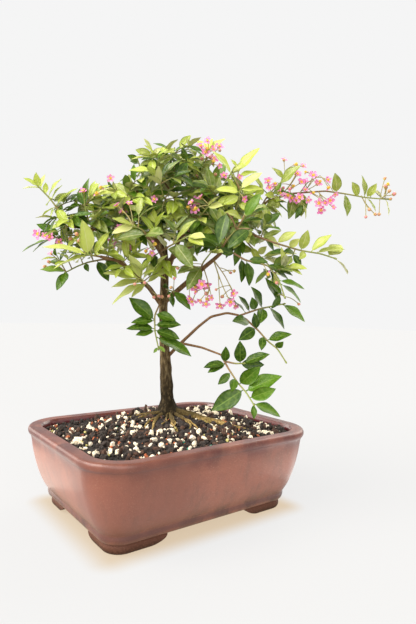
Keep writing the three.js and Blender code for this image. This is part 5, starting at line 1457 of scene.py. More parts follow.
def glaze_outside_material():
    s = Shader("glaze_brown", roughness=0.4, Coat_Weight=0.15, Coat_Roughness=0.15)
    body = s.ramp(s.height(0, 74), [
        (0.0, srgb(46, 24, 12)), (0.1, srgb(80, 44, 28)), (0.2, srgb(124, 72, 54)),
        (0.27, srgb(138, 84, 64)), (0.6, srgb(142, 86, 68)), (0.84, srgb(134, 78, 60)),
        (0.93, srgb(110, 56, 42)), (1.0, srgb(80, 36, 28)),
    ])
    drip = s.noise(0.16, 4, place=s.stretched(1, 1, 0.16))
    speck = s.noise(1.4, 3, 0.7)
    body = s.patches(body, drip, 0.42, 0.68, 0.45, srgb(108, 72, 56))
    body = s.patches(body, s.noise(0.045, 3), 0.42, 0.62, 0.5, srgb(150, 88, 66))
    body = s.patches(body, speck, 0.56, 0.72, 0.5, srgb(196, 152, 130))
    body = s.patches(body, speck, 0.44, 0.28, 0.6, srgb(84, 44, 40))
    wander = s.ease(s.noise(0.035, 3, place=s.stretched(1, 1, 0.4)), 0.36, 0.6, 0.05, 0.4)
    body = s.blend(s.times(s.height(58, 66), wander), body, srgb(96, 42, 34))
    x, y, _ = s.axes()
    # Painted shade: the glaze darkens towards the pot's front left corner.
    painted_shade_corner = s.times(s.ease(x, -48, -84), s.ease(y, -48, -66))
    body = s.tint(body, painted_shade_corner, 0.55, srgb(112, 64, 48))
    # Painted shade: a dark band along the shallow groove near the base.
    groove_shade = s.times(s.height(10.5, 12.6), s.height(16.4, 14.4))
    s.colour(s.tint(body, groove_shade, 0.5, srgb(78, 42, 38)))
    s.bump(s.plus(speck, s.times(drip, 0.8)), 0.22, 0.5)
    return s.material


def glaze_inside_material():
    s = Shader("glaze_dark", roughness=0.22, Coat_Weight=0.5, Coat_Roughness=0.08)
    shades = [(0.0, srgb(60, 22, 26)), (0.6, srgb(88, 38, 40)), (1.0, srgb(104, 58, 50))]
    body = s.ramp(s.height(64, 73.5), shades)
    s.colour(s.patches(body, s.noise(0.5, 4), 0.45, 0.7, 0.45, srgb(120, 66, 64)))
    s.bump(s.noise(0.9, 3), 0.15, 0.4)
    return s.material


def glaze_foot_material():
    s = Shader("glaze_foot", roughness=0.6, Specular_IOR_Level=0.3)
    shades = [(0.0, srgb(46, 23, 10)), (0.35, srgb(66, 36, 20)), (1.0, srgb(94, 53, 35))]
    body = s.ramp(s.height(0, 9), shades)
    s.colour(s.patches(body, s.noise(0.9, 4), 0.45, 0.7, 0.5, srgb(104, 66, 50)))
    s.bump(s.noise(1.4, 3), 0.3, 0.5)
    return s.material


FOOT_OUTSIDE_INSET = 24
SHADE_REACH = 24


def floor_material():
    """Pale ground that glows evenly, with a warm painted shadow close around the pot."""
    s = Shader("floor_pale", roughness=1.0, Specular_IOR_Level=0.0, Emission_Strength=0.77)
    s.bsdf.inputs["Base Color"].default_value = srgb(76, 75, 73)
    x, y, _ = s.axes()
    beyond = []
    for value, side in ((x, POT_LENGTH), (y, POT_WIDTH)):
        half = side / 2 - FOOT_OUTSIDE_INSET
        out = s.sums("MAXIMUM", s.sums("SUBTRACT", s.sums("ABSOLUTE", value), half), 0)
        beyond.append(s.times(out, out))
    distance = s.sums("SQRT", s.plus(*beyond))
    # Close to the pot the glow turns warm and dimmer: a painted shadow round its feet.
    glow = s.blend(s.ease(distance, 0, SHADE_REACH, 1, 0), srgb(255, 255, 255), srgb(240, 218, 188))
    s.put(s.bsdf.inputs["Emission Color"], glow)
    return s.material


glaze_outside = glaze_outside_material()
glaze_inside = glaze_inside_material()
glaze_foot = glaze_foot_material()
leaf_dark = leaf_material("leaf_dark", srgb(26, 56, 2), srgb(78, 118, 12), srgb(158, 180, 80),
                          srgb(128, 156, 60), srgb(110, 164, 8), 0.3, 0.24, 0.32)
leaf_mature = leaf_material("leaf_mature", srgb(72, 108, 14), srgb(186, 198, 68), srgb(242, 236, 190),
                            srgb(230, 226, 160), srgb(202, 208, 62), 0.34, 0.32)
leaf_young = leaf_material("leaf_young", srgb(158, 180, 42), srgb(206, 216, 84), srgb(232, 234, 164),
                           srgb(236, 236, 180), srgb(204, 216, 74), 0.36, 0.34)
petal_pink = petal_material()
anther = plain_material("anther_yellow", srgb(236, 168, 40), srgb(250, 214, 84), 2.0, 0.6)
calyx = plain_material("calyx_green", srgb(176, 170, 60), srgb(216, 176, 72), 1.2, 0.5)
bud_skin = plain_material("bud_pink", srgb(222, 112, 150), srgb(172, 152, 62), 0.6, 0.55)
soil_dark = plain_material("soil_dark", srgb(26, 20, 18), srgb(44, 34, 28), 0.5, 0.95, relief=0.8)
soil_grit = plain_material("soil_grit", srgb(22, 18, 17), srgb(58, 46, 38), 0.6, 0.9, relief=0.5)
flake = plain_material("bark_flake", srgb(34, 22, 18), srgb(92, 62, 44), 0.5, 0.85, relief=0.5)
perlite = plain_material("perlite", srgb(248, 238, 216), srgb(214, 196, 166), 0.8, 0.9, relief=0.5)
clay = plain_material("clay_bit", srgb(150, 70, 40), srgb(186, 110, 70), 0.8, 0.85, relief=0.4)
feed_bead = plain_material("feed_bead", srgb(164, 156, 78), srgb(196, 184, 116), 0.9, 0.35, relief=0.1)
green_prill = plain_material("green_prill", srgb(18, 92, 74), srgb(34, 116, 94), 0.9, 0.4, relief=0.1)
screen_plastic = plain_material("screen_plastic", srgb(34, 36, 38), srgb(46, 48, 50), 0.6, 0.5, relief=0.2)
floor_pale = floor_material()
bark = bark_material()
root_skin = root_material()
twig_green = twig_material("twig_green", srgb(128, 96, 60), srgb(130, 140, 64))
stalk_green = twig_material("stalk_green", srgb(150, 130, 80), srgb(170, 176, 96))


# Pot: the CAD section with its edges rounded off, and four feet with bracket-shaped ends
def rounded_section(section, rounds=2):
    points = np.array(section, float)
    for _ in range(rounds):
        near = points[:-1] * 0.75 + points[1:] * 0.25
        far = points[:-1] * 0.25 + points[1:] * 0.75
        middle = np.stack([near, far], axis=1).reshape(-1, 2)
        points = np.concatenate([points[:1], middle[1:-1], points[-1:]])
    return points


def half_sizes(inset):
    """Half length, half width and corner radius of the pot's outline, moved in by an inset."""
    return POT_LENGTH / 2 - inset, POT_WIDTH / 2 - inset, max(LEAST_CORNER_RADIUS, RIM_CORNER_RADIUS - inset)


def pot_ring(inset, height, corner_steps=14, long_steps=10, short_steps=8):
    half_length, half_width, radius = half_sizes(inset)
    corners = []
    for quarter in range(4):
        x_side = 1 if quarter in (0, 3) else -1
        y_side = 1 if quarter < 2 else -1
        angles = np.pi / 2 * (quarter + np.arange(corner_steps + 1) / corner_steps)
        x = x_side * (half_length - radius) + radius * np.cos(angles)
        y = y_side * (half_width - radius) + radius * np.sin(angles)
        corners.append(np.stack([x, y, np.full(len(x), height)], axis=1))
    ring = []
    for quarter in range(4):
        after = corners[(quarter + 1) % 4][0]
        steps = long_steps if quarter % 2 == 0 else short_steps
        last = corners[quarter][-1]
        ring += list(corners[quarter])
        ring += [last + (after - last) * k / steps for k in range(1, steps)]
    return np.array(ring)


def loft(bag, rings, slots):
    """A closed body through rings of equal length; slots gives the material of each band and of the caps."""
    count = len(rings[0])
    faces = grid_faces(len(rings), count, closed=True)
    faces.append(tuple(reversed(range(count))))
    faces.append(tuple((len(rings) - 1) * count + k for k in range(count)))
    start = len(bag.slots)
    bag.add(np.concatenate(rings), faces, UNUSED)
    bands = [slots[r] for r in range(len(rings) - 1) for _ in range(count)]
    bag.slots[start:] = bands + [slots[0], slots[-1]]


def foot_rings(x_side, y_side):
    """Rings up one corner foot: along its outer face, then back along its inner face."""
    rings = []
    inner_x, inner_y, _ = half_sizes(FOOT_OUTSIDE[0][0] + FOOT_WALL)
    inner_corner = [(inner_x - FOOT_CUT, inner_y), (inner_x, inner_y - FOOT_CUT)]
    angles = np.linspace(0, np.pi / 2, FOOT_STEPS["corner"] + 1)
    steps = FOOT_STEPS["side"]
    for inset, height in rounded_section(FOOT_OUTSIDE + [FOOT_TOP]):
        bulge = 1 - (1 - within(height / POT_OUTSIDE[0][1])) ** FOOT_BRACKET
        gap_x = mix(LONG_GAP["bottom"], LONG_GAP["top"], bulge) / 2
        gap_y = mix(SHORT_GAP["bottom"], SHORT_GAP["top"], bulge) / 2
        half_length, half_width, radius = half_sizes(inset)
        corner_x = half_length - radius + radius * np.cos(angles)
        corner_y = half_width - radius + radius * np.sin(angles)
        ring = np.concatenate([
            np.column_stack([np.full(steps, half_length), np.linspace(gap_y, corner_y[0], steps + 1)[:-1]]),
            np.column_stack([corner_x, corner_y]),
            np.column_stack([np.linspace(corner_x[-1], gap_x, steps + 1)[1:], np.full(steps, half_width)]),
            [(gap_x, inner_y), *inner_corner, (inner_x, gap_y)],
        ])
        ring = ring * (x_side, y_side)
        if x_side * y_side < 0:
            ring = ring[::-1]
        rings.append(np.column_stack([ring, np.full(len(ring), height)]))
    return rings


def cut(piece, tools):
    """Takes closed tool shapes out of a piece, for good."""
    for tool in tools:
        modifier = piece.modifiers.new("cut", "BOOLEAN")
        modifier.operation = "DIFFERENCE"
        modifier.solver = "EXACT"
        modifier.object = tool
    shown = piece.evaluated_get(bpy.context.evaluated_depsgraph_get())
    mesh = bpy.data.meshes.new_from_object(shown)
    piece.modifiers.clear()
    piece.data = mesh
    for tool in tools:
        bpy.data.objects.remove(tool)


DRILL_SIDES = 32
DRILL = [(-5, 1), (FLOOR_TOP - 1, 1), (FLOOR_TOP + 6, 1.4)]


def drill_tool(side):
    """The shape of one drain hole: heights, and factors on its radius, which widens at the top."""
    turns = np.linspace(0, 2 * np.pi, DRILL_SIDES, endpoint=False)
    radius = DRAIN_HOLE_DIAMETER / 2
    rings = []
    for height, factor in DRILL:
        x = side * DRAIN_HOLE_SPACING / 2 + radius * factor * np.cos(turns)
        rings.append(np.column_stack([x, radius * factor * np.sin(turns), np.full(DRILL_SIDES, height)]))
    bag = Bag()
    loft(bag, rings, [1] * len(rings))
    mesh = bpy.data.meshes.new("drill")
    mesh.from_pydata((np.concatenate(bag.points) * MM + offset).tolist(), [], bag.faces)
    for material in (glaze_outside, glaze_inside):
        mesh.materials.append(material)
    mesh.polygons.foreach_set("material_index", [1] * len(mesh.polygons))
    return show("drill", mesh)


SHARP_ANGLE = math.radians(50)
UNDERSIDE_INSET = 30

pot_bag = Bag()
outside = rounded_section([(UNDERSIDE_INSET, POT_OUTSIDE[0][1])] + POT_OUTSIDE + POT_INSIDE[:1])
inside = rounded_section(POT_INSIDE)
section = np.concatenate([outside, inside[1:]])
band_slots = [0] * (len(outside) - 1) + [1] * len(inside)
loft(pot_bag, [pot_ring(inset, height) for inset, height in section], band_slots)
pot = pot_bag.build("pot_body", [glaze_outside, glaze_inside], ["pot"])
cut(pot, [drill_tool(side) for side in (-1, 1)])
pot.data.set_sharp_from_angle(angle=SHARP_ANGLE)
foot_bag = Bag()
for x_side in (-1, 1):
    for y_side in (-1, 1):
        rings = foot_rings(x_side, y_side)
        loft(foot_bag, rings, [0] * len(rings))
feet = foot_bag.build("pot_feet", [glaze_foot])
feet.data.set_sharp_from_angle(angle=SHARP_ANGLE)


# Finer surface roots that the CAD part leaves out, as [right, away] from the front corner
FINE_ROOTS = [
    ([1.5, 1.0, 0.6], [[-1, 32], [5, 18], [4, 4], [9, -12]]),
    ([1.4, 0.9, 0.6], [[2, 34], [14, 18], [26, 8], [32, -8]]),
    ([1.5, 1.0, 0.6], [[-6, 34], [-10, 22], [-20, 10], [-22, -4]]),
    ([1.3, 0.9, 0.6], [[3, 38], [24, 30], [46, 10], [58, -6]]),
    ([1.3, 0.9, 0.6], [[-7, 38], [-24, 38], [-40, 30], [-58, 32]]),
    ([1.2, 0.8, 0.5], [[30, 28], [44, 34], [60, 30], [78, 32]]),
    ([1.2, 0.8, 0.5], [[-2, 30], [-2, 16], [-6, 2], [-4, -10]]),
]
FINE_FORM = {"rise": 0.9, "dive": 2.2, "power": 3}
THICK_ROOT = 2
ROOT_VISIBLE = 0.62
ROOT_SWAY = {"width": 2.6, "slow": 9, "fast": 23}
ROOT_SHOWN = 0.82

fine_stems = [(root_curve(route, **FINE_FORM), radii) for radii, route in FINE_ROOTS]
root_paths = []
for number, (curve, radii) in enumerate(root_stems + fine_stems):
    path = rounded_path(curve, step=2.0, passes=8)
    thinner = number < len(ROOTS) and number != THICK_ROOT
    spread = radii_along(radii, curve, path) * (ROOT_VISIBLE if thinner else 1)
    away = np.linspace(0, 1, len(path))
    for axis, phase in ((0, 1.1), (1, 2.3)):
        slow = np.sin(away * ROOT_SWAY["slow"] + phase * (number + 1))
        fast = np.sin(away * ROOT_SWAY["fast"] + 2 * phase * (number + 2))
        path[:, axis] += (slow + 0.5 * fast) * ROOT_SWAY["width"] * away * (1 - away) * 2
    path[:, 2] += 0.5 * spread * (1 - away)
    root_paths.append((path, spread))
root_spots = np.concatenate([
    np.column_stack([path[:, :2], spread])[:int(len(path) * ROOT_SHOWN)] for path, spread in root_paths
])


# Soil: a bed with a fine relief, and loose grains of several kinds on it
SOIL_SIDES = [(29.5, FLOOR_TOP + 2), (19.2, 31), (16.2, 45), (13.6, SOIL_LEVEL - 5)]
COARSE = {"length": 7, "height": 1.3}
FINE = {"length": 2.6, "height": 0.9, "shift": (40, 0, 0)}
RELIEF_SINK = 0.4


def soil_relief(x, y):
    point = Vector((x, y, 0))
    coarse = noise.noise(point / COARSE["length"]) * COARSE["height"]
    fine = noise.noise(point / FINE["length"] + Vector(FINE["shift"])) * FINE["height"]
    return float(soil_height(x, y)) + coarse + fine - RELIEF_SINK


soil_bag = Bag()
soil_rings = [pot_ring(inset + WALL_GAP, height, **SOIL_STEPS) for inset, height in SOIL_SIDES]
for n in range(SOIL_RINGS):
    ring = pot_ring(SOIL_INSET, 0, **SOIL_STEPS) * (1 - n / SOIL_RINGS)
    ring[:, 2] = [soil_relief(x, y) for x, y, _ in ring]
    soil_rings.append(ring)
loft(soil_bag, soil_rings, [0] * len(soil_rings))
soil_bag.build("soil_bed", [soil_dark], ["soil"])


def lump_shape(rings, sides):
    """Unit directions and faces of a rounded lump."""
    bag = Bag()
    ball(bag, (0, 0, 0), (1, 1), (0, 0, 1), UNUSED, rings=rings, sides=sides)
    return np.concatenate(bag.points), bag.faces


GRAIN = {"power": 1.8, "wall": 0.3, "trunk": 11, "root": 0.7, "sink": 0.2, "uneven": (0.8, 1.2)}


def scatter(name, material, count, radii, shape, rough, sink, seed, mesh=(5, 8)):
    """Grains at random places on the soil, each turned and dented in its own way."""
    draw = np.random.default_rng(seed)
    unit_points, faces = lump_shape(*mesh)
    bag = Bag()
    placed = 0
    while placed < count:
        x = draw.uniform(-1, 1) * (POT_LENGTH / 2 - SOIL_INSET)
        y = draw.uniform(-1, 1) * (POT_WIDTH / 2 - SOIL_INSET)
        radius = mix(*radii, draw.random() ** GRAIN["power"])
        room = SOIL_INSET + GRAIN["wall"] + radius
        if not inside_ring(x, y, room) or not clear_of_trunk(x, y, radius) or on_a_root(x, y, radius):
            continue
        lows = 1 - rough * draw.random(len(unit_points))
        points = unit_points * lows[:, None] * np.array(shape) * draw.uniform(*GRAIN["uneven"], 3)
        points = points @ random_turn(draw).T * radius
        lift = -points[:, 2].min() * (1 - sink)
        centre = np.array([x, y, float(soil_height(x, y)) + lift - GRAIN["sink"]])
        bag.add(points + centre, faces, (draw.random(), draw.random(), draw.random(), 0))
        placed += 1
    bag.build(name, [material], smooth=False)


def random_turn(draw):
    q = draw.normal(size=4)
    w, x, y, z = q / np.linalg.norm(q)
    return np.array([
        [1 - 2 * (y * y + z * z), 2 * (x * y - z * w), 2 * (x * z + y * w)],
        [2 * (x * y + z * w), 1 - 2 * (x * x + z * z), 2 * (y * z - x * w)],
        [2 * (x * z - y * w), 2 * (y * z + x * w), 1 - 2 * (x * x + y * y)],
    ])


def inside_ring(x, y, inset):
    half_length, half_width, radius = half_sizes(inset)
    out_x = max(0, abs(x) - half_length + radius)
    out_y = max(0, abs(y) - half_width + radius)
    return abs(x) < half_length and abs(y) < half_width and math.hypot(out_x, out_y) < radius


def clear_of_trunk(x, y, radius):
    trunk_x, trunk_y, _ = from_front((*TRUNK_BASE, 0))
    return math.hypot(x - trunk_x, y - trunk_y) > GRAIN["trunk"] + radius


def on_a_root(x, y, radius):
    near = np.hypot(root_spots[:, 0] - x, root_spots[:, 1] - y)
    return bool(np.any(near < root_spots[:, 2] + GRAIN["root"] * radius))


# Kinds of grain: name, material, how many, least and greatest radius, shape, dents, depth in the soil, seed
scatter("grit_dark", soil_grit, 1000, (1.0, 4.2), (1, 1, 0.8), 0.45, 0.4, 11, mesh=(4, 6))
scatter("bark_flakes", flake, 300, (2.0, 5.5), (1, 0.6, 0.35), 0.4, 0.3, 12, mesh=(4, 6))
scatter("perlite", perlite, 360, (1.1, 4.7), (1, 0.8, 0.66), 0.42, 0.42, 13)
scatter("clay_bits", clay, 200, (0.9, 3.0), (1, 0.7, 0.5), 0.4, 0.3, 14, mesh=(4, 6))
scatter("feed_beads", feed_bead, 26, (1.1, 1.6), (1, 1, 1), 0.03, 0.15, 15, mesh=(6, 10))
scatter("green_prills", green_prill, 16, (0.9, 1.3), (1, 1, 1), 0.1, 0.15, 16)


# Wood: trunk, branches and surface roots
TRUNK_TUBE = {"sides": 28, "step": 2.2, "passes": 6}
BRANCH_TUBE = {"sides": 12, "step": 1.6, "passes": 3}
BRANCH_VISIBLE = 0.88
THIN_BRANCHES = (6, 7)
THIN_VISIBLE = 0.7
THICK_WOOD = 6.0
ROOT_TONE_STEP = 0.37
FLARE = {"top": 92, "height": 20, "power": 1.6, "depth": 0.22, "ribs": 5, "turn": 0.6}
BARK_BUMPS = {"depth": 0.13, "around": 1.4, "up": 9, "seed": 7.3}
ROOT_BUMPS = {"depth": 0.14, "around": 1, "up": 3, "seed": 3.1}


def bumps(bumpy, number, angles, up):
    """Factors on the radius round one ring of a stem."""
    values = []
    for angle in angles:
        x = math.cos(angle) * bumpy["around"] + bumpy["seed"] * number
        values.append(noise.noise(Vector((x, math.sin(angle) * bumpy["around"], up / bumpy["up"]))))
    return 1 + bumpy["depth"] * np.array(values)


wood_bag = Bag()
for number, (curve, radii) in enumerate(wood_stems):
    form = TRUNK_TUBE if number == 0 else BRANCH_TUBE
    visible = THIN_VISIBLE if number in THIN_BRANCHES else BRANCH_VISIBLE
    path = rounded_path(curve, step=form["step"], passes=form["passes"])
    spread = radii_along(radii, curve, path) * (1 if number == 0 else visible)

    def barky(ring, angles, path=path, number=number):
        height = path[ring][2]
        wobble = bumps(BARK_BUMPS, number, angles, height)
        if number == 0:
            flare = within((FLARE["top"] - height) / FLARE["height"]) ** FLARE["power"]
            wobble = wobble * (1 + flare * FLARE["depth"] * np.cos(FLARE["ribs"] * angles + FLARE["turn"]))
        return wobble

    values = np.zeros((len(path), 4))
    values[:, 2] = spread / THICK_WOOD
    values[:, 0] = number / len(wood_stems)
    tube(wood_bag, path, spread, form["sides"], values, shape=barky)
wood_bag.build("trunk_and_branches", [bark], ["wood"])

root_bag = Bag()
for number, (path, spread) in enumerate(root_paths):
    tone = (number * ROOT_TONE_STEP) % 1

    def gnarled(ring, angles, number=number):
        return bumps(ROOT_BUMPS, number, angles, ring)

    tube(root_bag, path, spread, BRANCH_TUBE["sides"], (0, 0, tone, 1), shape=gnarled)
root_bag.build("surface_roots", [root_skin])


# Leaves: each shoot's twig and blades
SHOOT_TWIG = {"radii": (0.95, 0.6), "sides": 8, "step": 1.6, "greener": (0, 1)}
FRONT_TWIG = {"radii": (0.8, 0.6), "sides": 6, "step": 2.5, "greener": (0.3, 0.3), "tone": 0.5}
SPRIG_TWIG = {"radii": (0.6, 0.4), "sides": 6, "step": 2.5, "greener": (0.3, 1)}
TIP_BUD = {"out": 0.6, "radii": (0.9, 1.8)}
LEAF_TONE = {"least": 0.15, "out": 0.6, "loose": 0.5}
SPRIG_TONE = {"middle": 0.35, "loose": 0.9}
FRONT_TONE = 0.25
LOOK_SEED = {"shoot": 31, "front": 6000, "sprig": 5000, "cloud": 100}


def shoot_piece(number, name, tone, curves):
    bag = Bag()
    for curve in curves:
        twig(bag, curve, **SHOOT_TWIG)
        way = np.array(unit(sub(curve[-1], curve[-2])))
        ball(bag, np.array(curve[-1]) + way * TIP_BUD["out"], TIP_BUD["radii"], way, (0, 1, 1, 0))
    start, end = curves[0][0], curves[0][-1]
    for n, leaf in enumerate(leaves[name]):
        root, direction, face, length = turned_inward(leaf)
        draw = random_from(LOOK_SEED["shoot"] * number + n)
        out = min(1, size(sub(root, start)) / size(sub(end, start)))
        lighter = LEAF_TONE["least"] + LEAF_TONE["out"] * out ** 2 + LEAF_TONE["loose"] * (draw() - 0.5)
        value = within(lighter + LIGHTER_AND_PAINTED_LIGHT.get(name, 0))
        blade(bag, root, direction, face, length, LEAF_FORM, value, draw)
    leaf = leaf_young if tone == "young" else leaf_dark if name in DARK_SHOOTS else leaf_mature
    bag.build("foliage_" + name, [twig_green, leaf], ["shoot_" + name])


for number, (name, _, _, tone, curves, _) in enumerate(shoots):
    shoot_piece(number, name, tone, curves)

bag = Bag()
for curve in front_curves:
    twig(bag, curve, **FRONT_TWIG)
for number, (root, direction, face, length) in enumerate(front_leaves):
    draw = random_from(LOOK_SEED["front"] + number)
    blade(bag, root, direction, face, length, LEAF_FORM, FRONT_TONE * draw(), draw)
bag.build("front_leaves", [twig_green, leaf_dark])

for number, ((name, *_, young_share), sprigs) in enumerate(zip(CLOUDS, clouds)):
    bag = Bag()
    for n, (curve, blades) in enumerate(sprigs):
        draw = random_from(LOOK_SEED["sprig"] + LOOK_SEED["cloud"] * number + n)
        young = draw() < young_share
        twig(bag, curve, **SPRIG_TWIG)
        for root, direction, face, length in blades:
            value = within(SPRIG_TONE["middle"] + SPRIG_TONE["loose"] * (draw() - 0.5))
            slot = 2 if young else 3 if draw() < DARK_SHARE else 1
            blade(bag, root, direction, face, length, SPRIG_FORM, value, draw, slot)
    bag.build("sprigs_" + name, [twig_green, leaf_mature, leaf_young, leaf_dark])


# Flowers: stalks, five clawed petals each, stamens and calyx glands; buds
FLOWER_FINISH = [stalk_green, petal_pink, anther, calyx, bud_skin]
STAMEN, GLAND, BUD = 2, 3, 4
STALK = {"rings": 9, "sides": 6, "wider": 1.15, "value": (0, 0.4, 0.5, 0)}
FLOWER_TWIG = {"radii": (0.6, 0.4), "sides": 6, "step": 2.5, "greener": (0.3, 0.3), "tone": 0.5}
SPAN_PARTS = 4
COMMON_VISIBLE = 0.55
STALK_SAG = 0.06
FLOWER_SEED = {"bunch": 700, "extra": 900}
PETAL_TILT = (8, 34)
PETAL_LENGTHS = {"open": (0.86, 1.06), "spent": (0.9, 1.6)}


def thin_stalk(bag, foot, head, bow, radius=0.4):
    foot, head = np.array(foot), np.array(head)
    t = np.linspace(0, 1, STALK["rings"])[:, None]
    path = foot + (head - foot) * t
    path[:, 2] += bow * np.sin(np.pi * t[:, 0])
    radii = np.linspace(radius, radius * STALK["wider"], STALK["rings"])
    tube(bag, path, radii, STALK["sides"], STALK["value"])


def around(face, count, first=0.0):
    """Directions spread evenly in the plane of a flower's face."""
    across, other = square_to(face)
    angles = first + 2 * np.pi * np.arange(count) / count
    return [np.cos(angle) * across + np.sin(angle) * other for angle in angles]


def bead_ring(bag, head, face, draw, count, first, out, up, radii, slot):
    """Small beads round the middle of a flower, at a distance out from it and up from its face."""
    for way in around(face, count, first):
        ball(bag, head + face * up + way * out, radii, face, (0, 0, draw(), 0), slot, rings=4, sides=6)


def open_flower(bag, head, face, draw, radius=BLOSSOM_RADIUS * 0.94):
    """Five petals, a middle with stamens, and the calyx with its glands behind."""
    face, head = np.array(face), np.array(head)
    first = FULL_TURN * draw()
    scale = radius / BLOSSOM_RADIUS
    for out in around(face, PETALS, first):
        tilt = math.radians(PETAL_TILT[0] + PETAL_TILT[1] * draw())
        direction = out * math.cos(tilt) + face * math.sin(tilt)
        up = face * math.cos(tilt) - out * math.sin(tilt)
        length = radius * mix(*PETAL_LENGTHS["open"], draw())
        blade(bag, head + face * 0.3 * scale, direction, up, length, PETAL_FORM, draw(), draw)
    ball(bag, head + face * scale, scaled((0.95, 0.9), scale), face, (0, 0, 0.8, 0), STAMEN)
    bead_ring(bag, head, face, draw, 9, first, 1.3 * scale, 1.7 * scale, scaled((0.5, 0.6), scale), STAMEN)
    ball(bag, head - face * 0.4 * scale, scaled((1.4, 1.1), scale), face, (0, 0, 0.2, 0), GLAND)
    bead_ring(bag, head, face, draw, 6, first + 0.5, 1.4 * scale, -0.6 * scale,
              scaled((0.62, 0.85), scale), GLAND)


def spent_flower(bag, head, face, draw, radius=2.4):
    """Glands and stamens that stay when most petals have dropped, with two petals left."""
    face, head = np.array(face), np.array(head)
    first = FULL_TURN * draw()
    ball(bag, head, scaled((0.5, 0.5), radius), face, (0, 0, 0.3, 0), GLAND)
    bead_ring(bag, head, face, draw, 7, first, 0.6 * radius, -0.2, scaled((0.26, 0.36), radius), GLAND)
    bead_ring(bag, head, face, draw, 7, first + 0.4, 0.34 * radius, 0.55 * radius,
              scaled((0.19, 0.3), radius), STAMEN)
    for out in around(face, 2, first + 0.9):
        direction = out * 0.8 - face * 0.6
        up = face * 0.8 + out * 0.6
        length = radius * mix(*PETAL_LENGTHS["spent"], draw())
        blade(bag, head + out * 0.3 * radius, direction, up, length, PETAL_FORM, draw(), draw)


def closed_bud(bag, head, face, draw, radius=BUD_RADIUS):
    face, head = np.array(face), np.array(head)
    radius = radius * mix(0.85, 1.02, draw())
    ball(bag, head + face * 0.3, scaled((1, 1.05), radius), face, (0, 0, draw(), 0), BUD, rings=6, sides=10)
    ball(bag, head - face * radius * 0.6, scaled((0.8, 0.6), radius), face, (0, 0, 0.3, 0), GLAND)
    bead_ring(bag, head, face, draw, 5, 0.0, 0.75 * radius, -0.4 * radius, (0.5, 0.8), GLAND)


for number, ((name, *_), place, heads) in enumerate(zip(BUNCHES, places, bunches)):
    bag = Bag()
    thin_stalk(bag, place[0], place[1], 0.0, COMMON_VISIBLE)
    draw = random_from(FLOWER_SEED["bunch"] + number)
    for foot, head, face, is_open in heads:
        thin_stalk(bag, foot, head, -STALK_SAG * size(sub(head, foot)))
        (open_flower if is_open else closed_bud)(bag, head, face, draw)
    bag.build("flowers_" + name, FLOWER_FINISH, ["blossom_" + name])


def stalk_fault(spot, head):
    """How badly a spot suits a flower: stalks have a usual length and leave a little above the flower."""
    length = size(sub(spot, head))
    return abs(length - PEDICEL["length"]) + PEDICEL["level"] * abs(spot[2] - head[2] - PEDICEL["drop"])


shapes = {"open": open_flower, "spent": spent_flower, "bud": closed_bud}
for number, (group, heads) in enumerate(extra_flowers.items()):
    bag = Bag()
    draw = random_from(FLOWER_SEED["extra"] + number)
    twigs = [route_from_front(route) for route in FLOWER_TWIGS.get(group, [])]
    spans = [span for route in twigs for span in zip(route, route[1:])]
    own_hosts = [mix_point(a, b, k / SPAN_PARTS) for a, b in spans for k in range(SPAN_PARTS + 1)]
    for route in twigs:
        twig(bag, route, **FLOWER_TWIG)
    for kind, head in heads:
        host = min(own_hosts or hosts, key=lambda spot: stalk_fault(spot, head))
        way = unit(sub(head, host))
        loose = times(loosely(draw), EXTRA_FACE["loose"])
        face = unit(add(add(way, from_front(EXTRA_FACE["side"])), loose))
        thin_stalk(bag, host, head, PEDICEL["bow"] * size(sub(head, host)), PEDICEL["radius"])
        shapes[kind](bag, head, face, draw, mix(*FLOWER_SIZES[kind], draw()))
    bag.build("more_flowers_" + group, FLOWER_FINISH)


# CAD pieces that stay: the mesh squares over the drain holes
for side in ("left", "right"):
    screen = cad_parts["drain_screen_" + side]
    screen.data.materials.clear()
    screen.data.materials.append(screen_plastic)


# Floor, light and camera
FLOOR_REACH = 6
floor_mesh = bpy.data.meshes.new("floor")
corners = [(x * FLOOR_REACH, y * FLOOR_REACH, 0) for x, y in ((-1, -1), (1, -1), (1, 1), (-1, 1))]
floor_mesh.from_pydata(corners, [], [(0, 1, 2, 3)])
floor = show("floor", floor_mesh)
floor.location = POT_CENTRE
floor_mesh.materials.append(floor_pale)

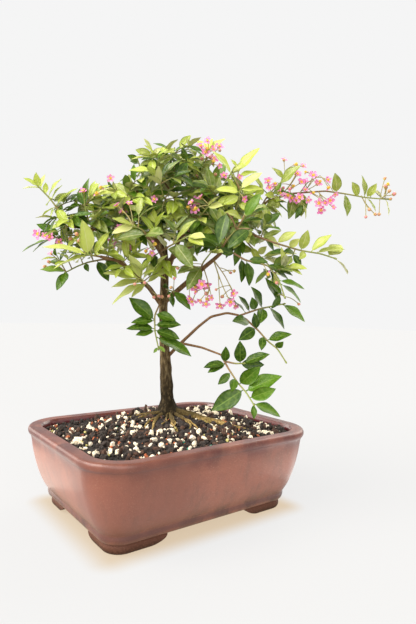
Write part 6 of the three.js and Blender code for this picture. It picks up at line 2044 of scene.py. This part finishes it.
world = bpy.data.worlds.new("studio")
world.use_nodes = True
nodes = world.node_tree.nodes
background = nodes["Background"]
background.inputs["Color"].default_value = (1, 1, 1, 1)
seen = nodes.new("ShaderNodeLightPath")
strength = nodes.new("ShaderNodeMapRange")
world.node_tree.links.new(seen.outputs["Is Camera Ray"], strength.inputs["Value"])
strength.inputs["To Min"].default_value = AMBIENT
strength.inputs["To Max"].default_value = BACKGROUND
world.node_tree.links.new(strength.outputs["Result"], background.inputs["Strength"])
bpy.context.scene.world = world


def add_sun(name, towards, strength, spread, colour):
    data = bpy.data.lights.new(name, "SUN")
    data.energy = strength
    data.angle = math.radians(spread)
    data.color = colour
    show(name, data).rotation_euler = Vector(towards).to_track_quat("Z", "Y").to_euler()


def add_card(name, middle, sides, power, colour):
    data = bpy.data.lights.new(name, "AREA")
    data.shape = "RECTANGLE"
    data.size, data.size_y = sides[0] * MM, sides[1] * MM
    data.energy = power
    data.color = colour
    lamp = show(name, data)
    lamp.location = Vector(middle) * MM + Vector(POT_CENTRE)
    lamp.rotation_euler = (math.pi, 0, -TREE_TURN)
    lamp.visible_camera = False


for name, towards, *rest in SUNS:
    add_sun(name, from_front(towards), *rest)
for name, middle, *rest in CARDS:
    add_card(name, from_front(middle), *rest)


def photo_camera():
    azimuth, pitch, roll = (math.radians(CAMERA[turn]) for turn in ("azimuth", "pitch", "roll"))
    forward = Vector((math.sin(azimuth), math.cos(azimuth), 0))
    right = Vector((math.cos(azimuth), -math.sin(azimuth), 0))
    up = Vector((0, 0, 1))
    view = forward * math.cos(pitch) - up * math.sin(pitch)
    top = forward * math.sin(pitch) + up * math.cos(pitch)
    side = right * math.cos(roll) + top * math.sin(roll)
    top = top * math.cos(roll) - right * math.sin(roll)
    place = -forward * CAMERA["distance"] + right * CAMERA["right"] + up * CAMERA["up"]
    place = place * MM + Vector(POT_CENTRE)
    data = bpy.data.cameras.new("camera")
    data.lens = CAMERA["lens"]
    data.sensor_width = CAMERA["sensor"]
    data.sensor_fit = "AUTO"
    data.clip_start = CAMERA["nearest"]
    camera = show("camera", data)
    rows = [[side[i], top[i], -view[i], place[i]] for i in range(3)] + [[0, 0, 0, 1]]
    camera.matrix_world = Matrix(rows)
    bpy.context.scene.camera = camera


photo_camera()
bpy.context.scene.view_settings.view_transform = "Standard"
